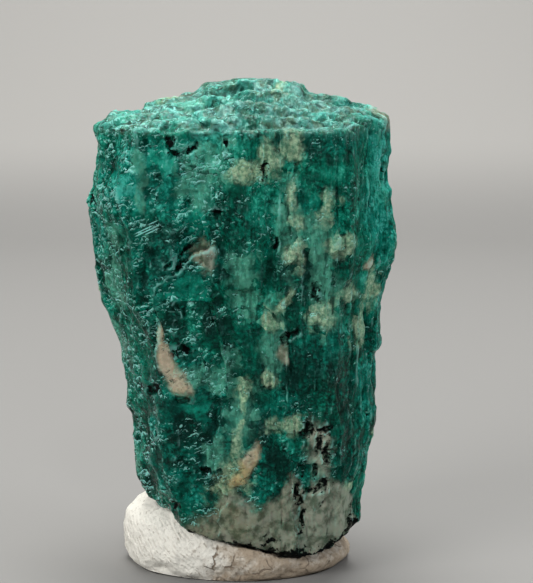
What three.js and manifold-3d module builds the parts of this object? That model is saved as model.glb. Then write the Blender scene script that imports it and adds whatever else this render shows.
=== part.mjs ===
// Raw emerald crystal: one stubby six-sided beryl prism, wider at the top than at its broken foot,
// ending above in low growth steps. It stands in a pad of white display putty pressed up round its foot.
// Millimetres, +Z up. The crystal's broad face looks along -Y. The origin is on the surface that the pad
// stands on, under the middle of the whole object's box.

import * as THREE from "three";
import { mergeVertices } from "three/addons/utils/BufferGeometryUtils.js";
import Module from "manifold-3d";

// ---- Driving dimensions of the crystal ----

// The prism's six faces in plan: the direction each looks in, and its distance from the axis.
const PRISM_FACES = [
  { looks: -90, away: 11.7 },
  { looks: -30, away: 15.4 },
  { looks: 30, away: 12.7 },
  { looks: 90, away: 11.7 },
  { looks: 150, away: 12.9 },
  { looks: 210, away: 15.4 },
];
const EDGE_CRISPNESS = 34; // higher makes the prism's edges sharper

// Where the prism's sides stand at each height. A broken foot, a waist on the left and a wider head.
const STATIONS = [
  { z: 2, left: -7.0, right: 11.3, front: -8.6, back: 7.0 },
  { z: 5, left: -8.0, right: 12.9, front: -9.4, back: 8.0 },
  { z: 8, left: -10.3, right: 13.3, front: -10.0, back: 8.9 },
  { z: 12, left: -11.4, right: 14.1, front: -10.5, back: 9.6 },
  { z: 16.5, left: -11.9, right: 15.0, front: -10.8, back: 10.2 },
  { z: 20, left: -12.4, right: 14.4, front: -11.0, back: 10.6 },
  { z: 25, left: -12.8, right: 14.5, front: -11.2, back: 11.0 },
  { z: 28, left: -14.0, right: 14.6, front: -11.3, back: 11.2 },
  { z: 31, left: -15.4, right: 15.2, front: -11.4, back: 11.4 },
  { z: 36, left: -15.6, right: 16.5, front: -11.6, back: 11.6 },
  { z: 40, left: -16.4, right: 15.9, front: -11.7, back: 11.8 },
  { z: 45, left: -15.8, right: 15.8, front: -11.7, back: 11.8 },
  { z: 50, left: -15.6, right: 15.6, front: -11.6, back: 11.6 },
];

// Slabs of the sides that stand out of the plain prism, or are broken back into it. from and to are
// directions in degrees, as seen from above, and low and high are heights.
const SLABS = [
  { from: -126, to: -100, low: 20, high: 31.5, out: 0.8 },
  { from: -121, to: -108, low: 34, high: 42, out: -0.6 },
  { from: -100, to: -76, low: 31, high: 49, out: 0.35 },
  { from: -70, to: -50, low: 14, high: 50, out: 0.4 },
  { from: -64, to: -40, low: 3, high: 13, out: -0.6 },
  { from: -150, to: -128, low: 5, high: 18, out: 0.4 },
  { from: -20, to: 8, low: 24, high: 42, out: 0.5 },
  { from: 22, to: 42, low: 6, high: 36, out: -0.5 },
  { from: 60, to: 88, low: 16, high: 50, out: 0.5 },
  { from: 98, to: 118, low: 26, high: 46, out: -0.6 },
  { from: 112, to: 140, low: 8, high: 24, out: 0.6 },
  { from: 158, to: 180, low: 30, high: 50, out: 0.4 },
];
const SLAB_EDGE = { turn: 5, height: 1.6 }; // how wide the slope at a slab's border is

// The top: a level rim in front, rising backwards in ledges to a skyline, and falling again at the back.
const SKYLINE = [
  { x: -16.6, z: 47.6 },
  { x: -14.0, z: 48.6 },
  { x: -13.6, z: 49.5 },
  { x: -10.5, z: 49.7 },
  { x: -10.1, z: 50.6 },
  { x: -7.6, z: 50.8 },
  { x: -4.5, z: 51.6 },
  { x: -3.6, z: 52.3 },
  { x: -0.6, z: 52.6 },
  { x: 0, z: 53.1 },
  { x: 3, z: 53.1 },
  { x: 6.6, z: 52.3 },
  { x: 7.4, z: 51.4 },
  { x: 11, z: 51.0 },
  { x: 14, z: 50.2 },
  { x: 15.6, z: 49.0 },
  { x: 16.6, z: 47.8 },
];
const TOP = {
  rim: 47.7,
  riseFrom: -12.2,
  riseTo: -2,
  ledges: 4,
  tread: 0.5,
  backShare: 0.55,
  backFrom: 2,
  backTo: 11.8,
  edge: 0.5,
};

// The foot: a slanting break, lowest right of the middle, rising to the left.
const FOOT = {
  lowest: 2.4,
  leftFrom: 4.0,
  leftSlope: 0.42,
  rightFrom: 5.0,
  rightSlope: 0.25,
  backSlope: 0.05,
  frontY: -9,
  soft: 1.5,
  edge: 1.6,
};

// ---- Driving dimensions of the putty pad ----

const PAD = {
  middleX: -0.35,
  middleY: -0.6,
  left: 12.8,
  right: 12.5,
  front: 8.8,
  back: 8.6,
  thinEnd: 3.9,
  thickSlope: 0.33,
  thickFrom: 9,
  shoulderShare: 0.28,
  footInset: 0.8,
  domePower: 2.4,
  domeRoot: 0.6,
};
const SEAT_GAP = 0.3; // clear space between the putty and the crystal pressed into it

// Grid segments across X, across Y and up the side of each solid.
const CRYSTAL_GRID = { acrossX: 24, acrossY: 16, up: 31 };
const PAD_GRID = { acrossX: 18, acrossY: 14, up: 5 };

const CRYSTAL_LOOK = { color: 0x0b6e55, roughness: 0.35, metalness: 0 };
const PUTTY_LOOK = { color: 0xe9e5da, roughness: 0.7, metalness: 0 };

// ---- Small helpers ----

const radians = THREE.MathUtils.degToRad;
const mix = THREE.MathUtils.lerp;

function smoothStep(low, high, value) {
  return THREE.MathUtils.smoothstep(value, low, high);
}

// The larger of zero and value, rounded over a width of about soft.
function softRamp(value, soft) {
  return 0.5 * (value + Math.sqrt(value * value + soft * soft)) - 0.5 * soft;
}

// A side of the prism at height z: a cubic through the stations.
function sideAt(side, z) {
  const last = STATIONS.length - 1;
  const height = THREE.MathUtils.clamp(z, STATIONS[0].z, STATIONS[last].z);
  let i = 0;
  while (i < last - 1 && STATIONS[i + 1].z < height) i += 1;
  const slope = (j) => {
    const before = STATIONS[Math.max(j - 1, 0)];
    const after = STATIONS[Math.min(j + 1, last)];
    return (after[side] - before[side]) / (after.z - before.z);
  };
  const a = STATIONS[i];
  const b = STATIONS[i + 1];
  const span = b.z - a.z;
  const t = (height - a.z) / span;
  const t2 = t * t;
  const t3 = t2 * t;
  return (
    (2 * t3 - 3 * t2 + 1) * a[side] +
    (t3 - 2 * t2 + t) * span * slope(i) +
    (3 * t2 - 2 * t3) * b[side] +
    (t3 - t2) * span * slope(i + 1)
  );
}

// ---- The crystal's shape ----

// The prism's plan in direction angle: the six faces joined by slightly rounded edges.
function planPoint(angle) {
  let sum = 0;
  for (const face of PRISM_FACES) {
    const facing = Math.cos(angle - radians(face.looks));
    if (facing > 0) sum += Math.pow(facing / face.away, EDGE_CRISPNESS);
  }
  const reach = Math.pow(sum, -1 / EDGE_CRISPNESS);
  return { x: reach * Math.cos(angle), y: reach * Math.sin(angle) };
}

const PLAN_BOX = new THREE.Box2();
for (let degree = 0; degree < 360; degree += 1) {
  const p = planPoint(radians(degree));
  PLAN_BOX.expandByPoint(new THREE.Vector2(p.x, p.y));
}

// How far the slabs stand out of the prism in direction angle at height z.
function slabRelief(angle, z) {
  let out = 0;
  for (const { from, to, low, high, out: height } of SLABS) {
    const turn = THREE.MathUtils.euclideanModulo(THREE.MathUtils.radToDeg(angle) - from, 360);
    const width = to - from;
    const across = smoothStep(0, SLAB_EDGE.turn, turn) - smoothStep(width - SLAB_EDGE.turn, width, turn);
    const along = smoothStep(low, low + SLAB_EDGE.height, z) - smoothStep(high - SLAB_EDGE.height, high, z);
    out += height * across * along;
  }
  return out;
}

// The prism's side in direction angle at height z, moved out from the axis by grow.
function sidePoint(angle, z, grow) {
  const p = planPoint(angle);
  const shareX = (p.x - PLAN_BOX.min.x) / (PLAN_BOX.max.x - PLAN_BOX.min.x);
  const shareY = (p.y - PLAN_BOX.min.y) / (PLAN_BOX.max.y - PLAN_BOX.min.y);
  const middle = axisAt(z);
  const x = mix(sideAt("left", z), sideAt("right", z), shareX);
  const y = mix(sideAt("front", z), sideAt("back", z), shareY);
  const reach = Math.hypot(x - middle.x, y - middle.y);
  const scale = 1 + (grow + slabRelief(angle, z)) / reach;
  return { x: middle.x + (x - middle.x) * scale, y: middle.y + (y - middle.y) * scale };
}

function axisAt(z) {
  return {
    x: (sideAt("left", z) + sideAt("right", z)) / 2,
    y: (sideAt("front", z) + sideAt("back", z)) / 2,
  };
}

// The skyline's height at x, straight between its points.
function skylineAt(x) {
  const last = SKYLINE.length - 1;
  const place = THREE.MathUtils.clamp(x, SKYLINE[0].x, SKYLINE[last].x);
  let i = 0;
  while (i < last - 1 && SKYLINE[i + 1].x < place) i += 1;
  const a = SKYLINE[i];
  const b = SKYLINE[i + 1];
  return mix(a.z, b.z, (place - a.x) / (b.x - a.x));
}

// The top's height: the rim, and above it a share of the skyline that grows backwards ledge by ledge.
function topHeight(x, y) {
  const rise = THREE.MathUtils.clamp((y - TOP.riseFrom) / (TOP.riseTo - TOP.riseFrom), 0, 1) * TOP.ledges;
  const ledge = Math.floor(rise);
  const share = (ledge + smoothStep(TOP.tread, 1, rise - ledge)) / TOP.ledges;
  const fall = mix(1, TOP.backShare, smoothStep(TOP.backFrom, TOP.backTo, y));
  return TOP.rim + (skylineAt(x) - TOP.rim) * share * fall;
}

// The foot's height: a trough that rises to the left, a little to the right, and gently to the back.
function footHeight(x, y) {
  const left = FOOT.leftSlope * softRamp(FOOT.leftFrom - x, FOOT.soft);
  const right = FOOT.rightSlope * softRamp(x - FOOT.rightFrom, FOOT.soft);
  return FOOT.lowest + left + right + FOOT.backSlope * (y - FOOT.frontY);
}

// How far a quarter-round edge of radius edge stands in from the side, this far from the edge.
function roundedIn(distance, edge) {
  const share = THREE.MathUtils.clamp(1 - distance / edge, 0, 1);
  return edge * (1 - Math.sqrt(1 - share * share));
}

// A point of the crystal's surface. up is 0 at the foot's edge and 1 at the top's edge; inward is 1 on
// the side and 0 at the middle of the foot or the top. grow makes the whole crystal larger all round.
function crystalPoint({ angle, inward, up }, grow) {
  let low = FOOT.lowest;
  let high = TOP.rim;
  for (let round = 0; round < 3; round += 1) {
    const atFoot = sidePoint(angle, low, -FOOT.edge);
    const atTop = sidePoint(angle, high, -TOP.edge);
    low = footHeight(atFoot.x, atFoot.y);
    high = topHeight(atTop.x, atTop.y);
  }
  const z = mix(low, high, up);
  const inset = roundedIn(z - low, FOOT.edge) + roundedIn(high - z, TOP.edge);
  const side = sidePoint(angle, z, grow - inset);
  if (inward === 1) {
    return { x: side.x, y: side.y, z: mix(z - grow, z + grow, up) };
  }
  const middle = axisAt(z);
  const x = mix(middle.x, side.x, inward);
  const y = mix(middle.y, side.y, inward);
  return { x, y, z: up === 1 ? topHeight(x, y) + grow : footHeight(x, y) - grow };
}

// ---- The pad's shape ----

// The lump before the crystal is pressed in: a low dome, thick on the left and thin on the right.
function padPoint({ angle, inward, up }) {
  const reachX = Math.cos(angle) < 0 ? PAD.left : PAD.right;
  const reachY = Math.sin(angle) < 0 ? PAD.front : PAD.back;
  const x = PAD.middleX + reachX * Math.cos(angle) * inward;
  const y = PAD.middleY + reachY * Math.sin(angle) * inward;
  const thick = PAD.thinEnd + PAD.thickSlope * softRamp(PAD.thickFrom - x, FOOT.soft);
  const shoulder = PAD.shoulderShare * thick;
  if (inward === 1) {
    const inset = PAD.footInset * (1 - up) * (1 - up);
    return {
      x: x - inset * Math.cos(angle),
      y: y - inset * Math.sin(angle),
      z: shoulder * up,
    };
  }
  if (up === 0) {
    const foot = 1 - PAD.footInset / Math.hypot(reachX, reachY);
    return { x: mix(PAD.middleX, x, foot), y: mix(PAD.middleY, y, foot), z: 0 };
  }
  const dome = Math.pow(1 - Math.pow(inward, PAD.domePower), PAD.domeRoot);
  return { x, y, z: mix(shoulder, thick, dome) };
}

// ---- Solids ----

// A closed block of quads: a top and a bottom of acrossX by acrossY, and a side of up rows between
// them. place turns an angle, a share inward and a share up into a point. The square grid is spread
// over a round plan, so no edge of the grid is crowded.
function blockGeometry({ acrossX, acrossY, up }, place) {
  const positions = [];
  const index = [];
  const corners = new Map();

  const corner = (i, j, k) => {
    const key = `${i},${j},${k}`;
    if (!corners.has(key)) {
      const a = (2 * i) / acrossX - 1;
      const b = (2 * j) / acrossY - 1;
      const x = a * Math.sqrt(1 - (b * b) / 2);
      const y = b * Math.sqrt(1 - (a * a) / 2);
      const onSide = i === 0 || i === acrossX || j === 0 || j === acrossY;
      const p = place({
        angle: Math.atan2(y, x),
        inward: onSide ? 1 : Math.hypot(x, y),
        up: k / up,
      });
      corners.set(key, positions.length / 3);
      positions.push(p.x, p.y, p.z);
    }
    return corners.get(key);
  };
  const quad = (a, b, c, d) => index.push(a, b, c, a, c, d);

  for (let i = 0; i < acrossX; i += 1) {
    for (let j = 0; j < acrossY; j += 1) {
      quad(corner(i, j, up), corner(i + 1, j, up), corner(i + 1, j + 1, up), corner(i, j + 1, up));
      quad(corner(i, j, 0), corner(i, j + 1, 0), corner(i + 1, j + 1, 0), corner(i + 1, j, 0));
    }
  }
  for (let k = 0; k < up; k += 1) {
    for (let i = 0; i < acrossX; i += 1) {
      quad(corner(i, 0, k), corner(i + 1, 0, k), corner(i + 1, 0, k + 1), corner(i, 0, k + 1));
      const far = acrossY;
      quad(corner(i + 1, far, k), corner(i, far, k), corner(i, far, k + 1), corner(i + 1, far, k + 1));
    }
    for (let j = 0; j < acrossY; j += 1) {
      quad(corner(0, j + 1, k), corner(0, j, k), corner(0, j, k + 1), corner(0, j + 1, k + 1));
      const far = acrossX;
      quad(corner(far, j, k), corner(far, j + 1, k), corner(far, j + 1, k + 1), corner(far, j, k + 1));
    }
  }
  const geometry = new THREE.BufferGeometry();
  geometry.setAttribute("position", new THREE.Float32BufferAttribute(positions, 3));
  geometry.setIndex(index);
  return geometry;
}

function toManifold(wasm, geometry) {
  const merged = mergeVertices(geometry);
  return new wasm.Manifold(
    new wasm.Mesh({
      numProp: 3,
      vertProperties: merged.getAttribute("position").array,
      triVerts: new Uint32Array(merged.getIndex().array),
    }),
  );
}

function toGeometry(solid) {
  const mesh = solid.getMesh();
  const geometry = new THREE.BufferGeometry();
  geometry.setAttribute("position", new THREE.BufferAttribute(mesh.vertProperties, 3));
  geometry.setIndex(new THREE.BufferAttribute(mesh.triVerts, 1));
  return geometry;
}

function namedMesh(name, geometry, look) {
  const shaded = geometry.toNonIndexed();
  shaded.computeVertexNormals();
  const mesh = new THREE.Mesh(shaded, new THREE.MeshStandardMaterial(look));
  mesh.name = name;
  return mesh;
}

const wasm = await Module();
wasm.setup();

const crystal = blockGeometry(CRYSTAL_GRID, (spot) => crystalPoint(spot, 0));
const pressed = blockGeometry(CRYSTAL_GRID, (spot) => crystalPoint(spot, SEAT_GAP));
const lump = blockGeometry(PAD_GRID, padPoint);
const seated = toManifold(wasm, lump).subtract(toManifold(wasm, pressed));

const specimen = new THREE.Group();
specimen.name = "raw_emerald_crystal";
specimen.add(namedMesh("emerald_crystal", crystal, CRYSTAL_LOOK));
specimen.add(namedMesh("putty_pad", toGeometry(seated), PUTTY_LOOK));

// Puts the origin under the middle of the box.
const box = new THREE.Box3().setFromObject(specimen);
const middle = box.getCenter(new THREE.Vector3());
specimen.position.set(-middle.x, -middle.y, -box.min.z);

export default specimen;
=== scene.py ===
"""A raw emerald crystal that stands upright in a pad of white display putty.

The crystal is one natural solid: a stubby six-sided beryl prism with cream feldspar, milky veils and
black mica grown into it. Its plain prism is a surface over a square grid, and its broken, striated and
chipped skin is a height added along the prism's normals. The putty is a second surface, pressed up
under the crystal's foot. Lengths are in millimetres until a mesh is made.
"""

import logging
import math
from dataclasses import dataclass, field
from enum import Enum

import bpy
import numpy as np
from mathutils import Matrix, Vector
from numpy.typing import NDArray


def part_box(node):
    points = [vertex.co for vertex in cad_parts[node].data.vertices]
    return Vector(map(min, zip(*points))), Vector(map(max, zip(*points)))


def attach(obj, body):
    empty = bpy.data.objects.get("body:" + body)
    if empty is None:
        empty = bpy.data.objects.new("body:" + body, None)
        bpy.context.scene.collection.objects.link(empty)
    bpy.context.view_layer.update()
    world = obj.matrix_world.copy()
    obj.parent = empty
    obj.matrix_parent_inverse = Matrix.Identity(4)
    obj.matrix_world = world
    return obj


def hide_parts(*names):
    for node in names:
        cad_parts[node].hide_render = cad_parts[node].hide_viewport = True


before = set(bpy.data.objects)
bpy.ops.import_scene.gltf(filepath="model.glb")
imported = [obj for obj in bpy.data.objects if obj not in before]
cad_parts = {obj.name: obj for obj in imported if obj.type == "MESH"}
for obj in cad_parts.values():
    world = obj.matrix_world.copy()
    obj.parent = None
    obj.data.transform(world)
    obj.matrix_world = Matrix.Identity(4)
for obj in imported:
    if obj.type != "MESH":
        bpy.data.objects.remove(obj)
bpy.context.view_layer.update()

Floats = NDArray[np.float64]
Whole = NDArray[np.int64]
Colour = tuple[float, float, float]

LOG = logging.getLogger("emerald")
METRE = 1000.0  # millimetres in a metre
BODY = "root"


# ---- Numbers over whole arrays ----


def smooth_step(low: float, high: float, value: Floats) -> Floats:
    """A smooth climb from 0 at low to 1 at high: 3t squared minus 2t cubed.

    Args:
        low: Where the climb starts. It may be above high, and then the climb runs the other way.
        high: Where the climb ends.
        value: The values to look up.

    Returns:
        The climb's height at each value.
    """
    share = np.clip((value - low) / (high - low), 0.0, 1.0)
    return share * share * (3.0 - 2.0 * share)


def soft_ramp(value: Floats, soft: float) -> Floats:
    """The larger of zero and value, rounded over a width of about soft."""
    return 0.5 * (value + np.sqrt(value * value + soft * soft)) - 0.5 * soft


def terraces(value: Floats, tread: float) -> Floats:
    """Cuts a slope into steps of one unit.

    Args:
        value: The slope's height, in steps.
        tread: The share of each step that is level. The rest is its riser.

    Returns:
        The whole step below each value, plus a smooth riser at the end of the tread.
    """
    level = np.floor(value)
    return level + smooth_step(tread, 1.0, value - level)


def lattice_vectors(cells: Whole, seed: int) -> Floats:
    """Three numbers from -1 to 1 for each cell of a lattice, the same at every run.

    The cell's three whole numbers are multiplied by large odd numbers, mixed by exclusive or, and
    scrambled by shifts and products, once more for each number wanted.

    Args:
        cells: One row of three whole numbers for each cell.
        seed: Picks one of many independent sets.

    Returns:
        One row of three numbers for each cell.
    """
    whole = cells.astype(np.uint32)
    state = whole[:, 0] * np.uint32(0x8DA6B343)
    state ^= whole[:, 1] * np.uint32(0xD8163841)
    state ^= whole[:, 2] * np.uint32(0xCB1AB31F)
    state ^= np.uint32((seed * 0x9E3779B1) & 0xFFFFFFFF)
    columns = []
    for _ in range(3):
        state ^= state >> np.uint32(16)
        state *= np.uint32(0x7FEB352D)
        state ^= state >> np.uint32(15)
        state *= np.uint32(0x846CA68B)
        state ^= state >> np.uint32(16)
        columns.append(state / 2147483648.0 - 1.0)
    return np.stack(columns, axis=1)


def gradient_noise(points: Floats, seed: int) -> Floats:
    """Smooth noise over space, from about -1 to 1.

    Each corner of a point's unit cell has a random slope, and the eight slopes' heights at the point
    are blended by the quintic 6t^5 - 15t^4 + 10t^3 along each axis.

    Args:
        points: One row of x, y, z for each place, with one unit to a cell.
        seed: Picks one of many independent noises.

    Returns:
        The noise at each place.
    """
    cell = np.floor(points).astype(np.int64)
    inside = points - cell
    weight = inside**3 * (inside * (inside * 6.0 - 15.0) + 10.0)
    total = np.zeros(len(points))
    for number in range(8):
        corner = np.array([number & 1, (number >> 1) & 1, (number >> 2) & 1])
        slope = lattice_vectors(cell + corner, seed)
        height = np.sum((inside - corner) * slope, axis=1)
        share = np.prod(np.where(corner == 1, weight, 1.0 - weight), axis=1)
        total += height * share
    return total * 1.6


def layered_noise(points: Floats, size: float | Colour, seed: int, layers: int = 3) -> Floats:
    """Gradient noise summed over layers, each half the size and half the height of the last.

    Args:
        points: Places in millimetres.
        size: The largest layer's cell, in millimetres, as one length or one for each axis.
        seed: Picks the noise.
        layers: How many layers are summed.

    Returns:
        The summed noise at each place, from about -1 to 1.
    """
    scaled = points / np.asarray(size, dtype=float)
    total = np.zeros(len(points))
    for layer in range(layers):
        total += gradient_noise(scaled * 2.0**layer, seed + 17 * layer) / 2.0**layer
    return total


def chips(points: Floats, size: float | Colour, seed: int, lean: float = 0.7) -> Floats:
    """Scooped chips that meet in sharp ridges.

    Each cell of a jittered lattice holds a shallow bowl: half the squared distance from the cell's
    centre, plus a tilt in a random direction, plus a random level. The height is the lowest bowl's.

    Args:
        points: Places in millimetres.
        size: A chip's width, in millimetres, as one length or one for each axis.
        seed: Picks the chips.
        lean: How strongly the bowls tilt.

    Returns:
        The height at each place, as a share of a chip's width, around zero.
    """
    scaled = points / np.asarray(size, dtype=float)
    cell = np.floor(scaled).astype(np.int64)
    lowest = np.full(len(points), np.inf)
    for number in range(27):
        offset = np.array([number % 3 - 1, (number // 3) % 3 - 1, number // 9 - 1])
        place = cell + offset
        jitter = lattice_vectors(place, seed)
        tilt = lattice_vectors(place, seed + 1)
        away = scaled - (place + 0.5 + 0.45 * jitter)
        bowl = 0.55 * np.sum(away * away, axis=1)
        bowl += 0.5 * lean * np.sum(away * tilt, axis=1) + 0.12 * tilt[:, 0]
        lowest = np.minimum(lowest, bowl)
    return lowest - 0.08


def track(heights: Floats, values: Floats, z: Floats) -> Floats:
    """A smooth line through stations: a cubic between each two, with slopes from their neighbours.

    Args:
        heights: The stations' heights, lowest first.
        values: The line's value at each station.
        z: The heights to look up.

    Returns:
        The line's value at each height.
    """
    last = len(heights) - 1
    before = np.maximum(np.arange(last + 1) - 1, 0)
    after = np.minimum(np.arange(last + 1) + 1, last)
    slopes = (values[after] - values[before]) / (heights[after] - heights[before])
    place = np.clip(z, heights[0], heights[-1])
    i = np.clip(np.searchsorted(heights, place, side="right") - 1, 0, last - 1)
    span = heights[i + 1] - heights[i]
    t = (place - heights[i]) / span
    rise = values[i] * (2 * t**3 - 3 * t**2 + 1) + values[i + 1] * (3 * t**2 - 2 * t**3)
    return rise + span * (slopes[i] * (t**3 - 2 * t**2 + t) + slopes[i + 1] * (t**3 - t**2))


# ---- Meshes ----


@dataclass(frozen=True)
class BlockGrid:
    """A closed block of four-sided faces over a square plan that is spread to a round one."""

    across_x: int
    across_y: int
    rows: int

    @property
    def ring(self) -> int:
        """How many corners stand round one row of the side."""
        return 2 * (self.across_x + self.across_y)

    def ring_places(self) -> tuple[Whole, Whole]:
        """The plan's border, counterclockwise from its first corner, as whole steps in x and y."""
        nx, ny = self.across_x, self.across_y
        i = [np.arange(nx), np.full(ny, nx), np.arange(nx, 0, -1), np.zeros(ny)]
        j = [np.zeros(nx), np.arange(ny), np.full(nx, ny), np.arange(ny, 0, -1)]
        return np.concatenate(i).astype(np.int64), np.concatenate(j).astype(np.int64)

    def spread(self, i: Whole, j: Whole) -> tuple[Floats, Floats]:
        """Spreads square steps over a disc: x = a sqrt(1 - b^2 / 2), and y the same way round.

        Args:
            i: Steps across x.
            j: Steps across y.

        Returns:
            The direction angle and the share of the way out of each place.
        """
        a = 2.0 * i / self.across_x - 1.0
        b = 2.0 * j / self.across_y - 1.0
        x = a * np.sqrt(1.0 - b * b / 2.0)
        y = b * np.sqrt(1.0 - a * a / 2.0)
        return np.arctan2(y, x), np.hypot(x, y)

    def corners(self) -> tuple[Floats, Floats, Floats]:
        """Where every corner is: first the side row by row, then inside the foot, then the top.

        Returns:
            Each corner's direction angle, share of the way out and share of the way up.
        """
        ring_angle, _ = self.spread(*self.ring_places())
        inner_i, inner_j = np.meshgrid(
            np.arange(1, self.across_x), np.arange(1, self.across_y), indexing="ij"
        )
        cap_angle, cap_out = self.spread(inner_i.ravel(), inner_j.ravel())
        side_up = np.repeat(np.linspace(0.0, 1.0, self.rows + 1), self.ring)
        caps = len(cap_angle)
        angle = np.concatenate([np.tile(ring_angle, self.rows + 1), cap_angle, cap_angle])
        out = np.concatenate([np.ones(len(side_up)), cap_out, cap_out])
        up = np.concatenate([side_up, np.zeros(caps), np.ones(caps)])
        return angle, out, up

    def cap_table(self, first_ring: int, first_inner: int) -> Whole:
        """The corner number at each square step of a cap, border and inside."""
        table = np.empty((self.across_x + 1, self.across_y + 1), dtype=np.int64)
        i, j = self.ring_places()
        table[i, j] = first_ring + np.arange(self.ring)
        inner = (self.across_x - 1) * (self.across_y - 1)
        table[1:-1, 1:-1] = (first_inner + np.arange(inner)).reshape(
            self.across_x - 1, self.across_y - 1
        )
        return table

    def faces(self) -> Whole:
        """The corner numbers of every face, four to a row, wound to face outwards."""
        step = np.arange(self.ring)
        following = (step + 1) % self.ring
        base = np.arange(self.rows)[:, None] * self.ring
        side = np.stack(
            [base + step, base + following, base + self.ring + following, base + self.ring + step],
            axis=-1,
        ).reshape(-1, 4)
        side_count = (self.rows + 1) * self.ring
        inner = (self.across_x - 1) * (self.across_y - 1)
        foot = self.cap_table(0, side_count)
        top = self.cap_table(self.rows * self.ring, side_count + inner)
        top_faces = np.stack([top[:-1, :-1], top[1:, :-1], top[1:, 1:], top[:-1, 1:]], axis=-1)
        foot_faces = np.stack([foot[:-1, :-1], foot[:-1, 1:], foot[1:, 1:], foot[1:, :-1]], axis=-1)
        return np.concatenate([side, top_faces.reshape(-1, 4), foot_faces.reshape(-1, 4)])


def vertex_normals(points: Floats, faces: Whole) -> Floats:
    """Unit normals: the cross products of each face's diagonals, summed at its corners."""
    diagonal_a = points[faces[:, 2]] - points[faces[:, 0]]
    diagonal_b = points[faces[:, 3]] - points[faces[:, 1]]
    flat = np.cross(diagonal_a, diagonal_b)
    total = np.zeros_like(points)
    for corner in range(4):
        for axis in range(3):
            total[:, axis] += np.bincount(faces[:, corner], flat[:, axis], minlength=len(points))
    return total / np.maximum(np.linalg.norm(total, axis=1, keepdims=True), 1e-12)


def smoothed(values: Floats, faces: Whole, rounds: int) -> Floats:
    """Averages each corner's value with its neighbours' along the faces' edges, several times."""
    start = faces.ravel()
    end = np.roll(faces, -1, axis=1).ravel()
    count = np.bincount(start, minlength=len(values)) + np.bincount(end, minlength=len(values))
    for _ in range(rounds):
        total = np.bincount(start, values[end], minlength=len(values))
        total += np.bincount(end, values[start], minlength=len(values))
        values = 0.5 * values + 0.5 * total / count
    return values


def make_piece(name: str, points: Floats, faces: Whole, fields: dict[str, Floats]) -> bpy.types.Object:
    """Makes a smooth-shaded object from millimetre corners and four-sided faces.

    Args:
        name: The object's name.
        points: Corner places in millimetres.
        faces: Corner numbers, four to a face.
        fields: Named surface patterns, each with three values to a corner.

    Returns:
        The new object, linked into the scene.
    """
    mesh = bpy.data.meshes.new(name)
    mesh.vertices.add(len(points))
    mesh.vertices.foreach_set("co", (points / METRE).ravel())
    mesh.loops.add(faces.size)
    mesh.loops.foreach_set("vertex_index", faces.ravel().astype(np.int32))
    mesh.polygons.add(len(faces))
    mesh.polygons.foreach_set("loop_start", np.arange(0, faces.size, 4, dtype=np.int32))
    mesh.polygons.foreach_set("use_smooth", np.ones(len(faces), dtype=bool))
    for label, values in fields.items():
        pattern = mesh.attributes.new(label, "FLOAT_VECTOR", "POINT")
        pattern.data.foreach_set("vector", values.astype(np.float32).ravel())
    mesh.update(calc_edges=True)
    piece = bpy.data.objects.new(name, mesh)
    bpy.context.scene.collection.objects.link(piece)
    return piece


@dataclass(frozen=True)
class Fit:
    """Carries millimetre places of the shape's own plan into the frame."""

    shift: Floats

    @classmethod
    def to_node(cls, node: str, points: Floats) -> "Fit":
        """Lines the middle of some points' plan up with the middle of a node's box.

        Args:
            node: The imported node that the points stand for.
            points: Places in the shape's own plan.

        Returns:
            The fit that moves the points to the node's place.
        """
        low, high = (np.array(corner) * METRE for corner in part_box(node))
        own = (points.min(axis=0) + points.max(axis=0)) / 2
        shift = (low + high) / 2 - own
        shift[2] = high[2] - points[:, 2].max()
        return cls(shift)


# ---- The crystal's plain prism ----


@dataclass(frozen=True)
class Slab:
    """A piece of the prism's side that stands out or is broken back. Directions are in degrees."""

    start: float
    end: float
    low: float
    high: float
    out: float


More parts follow.
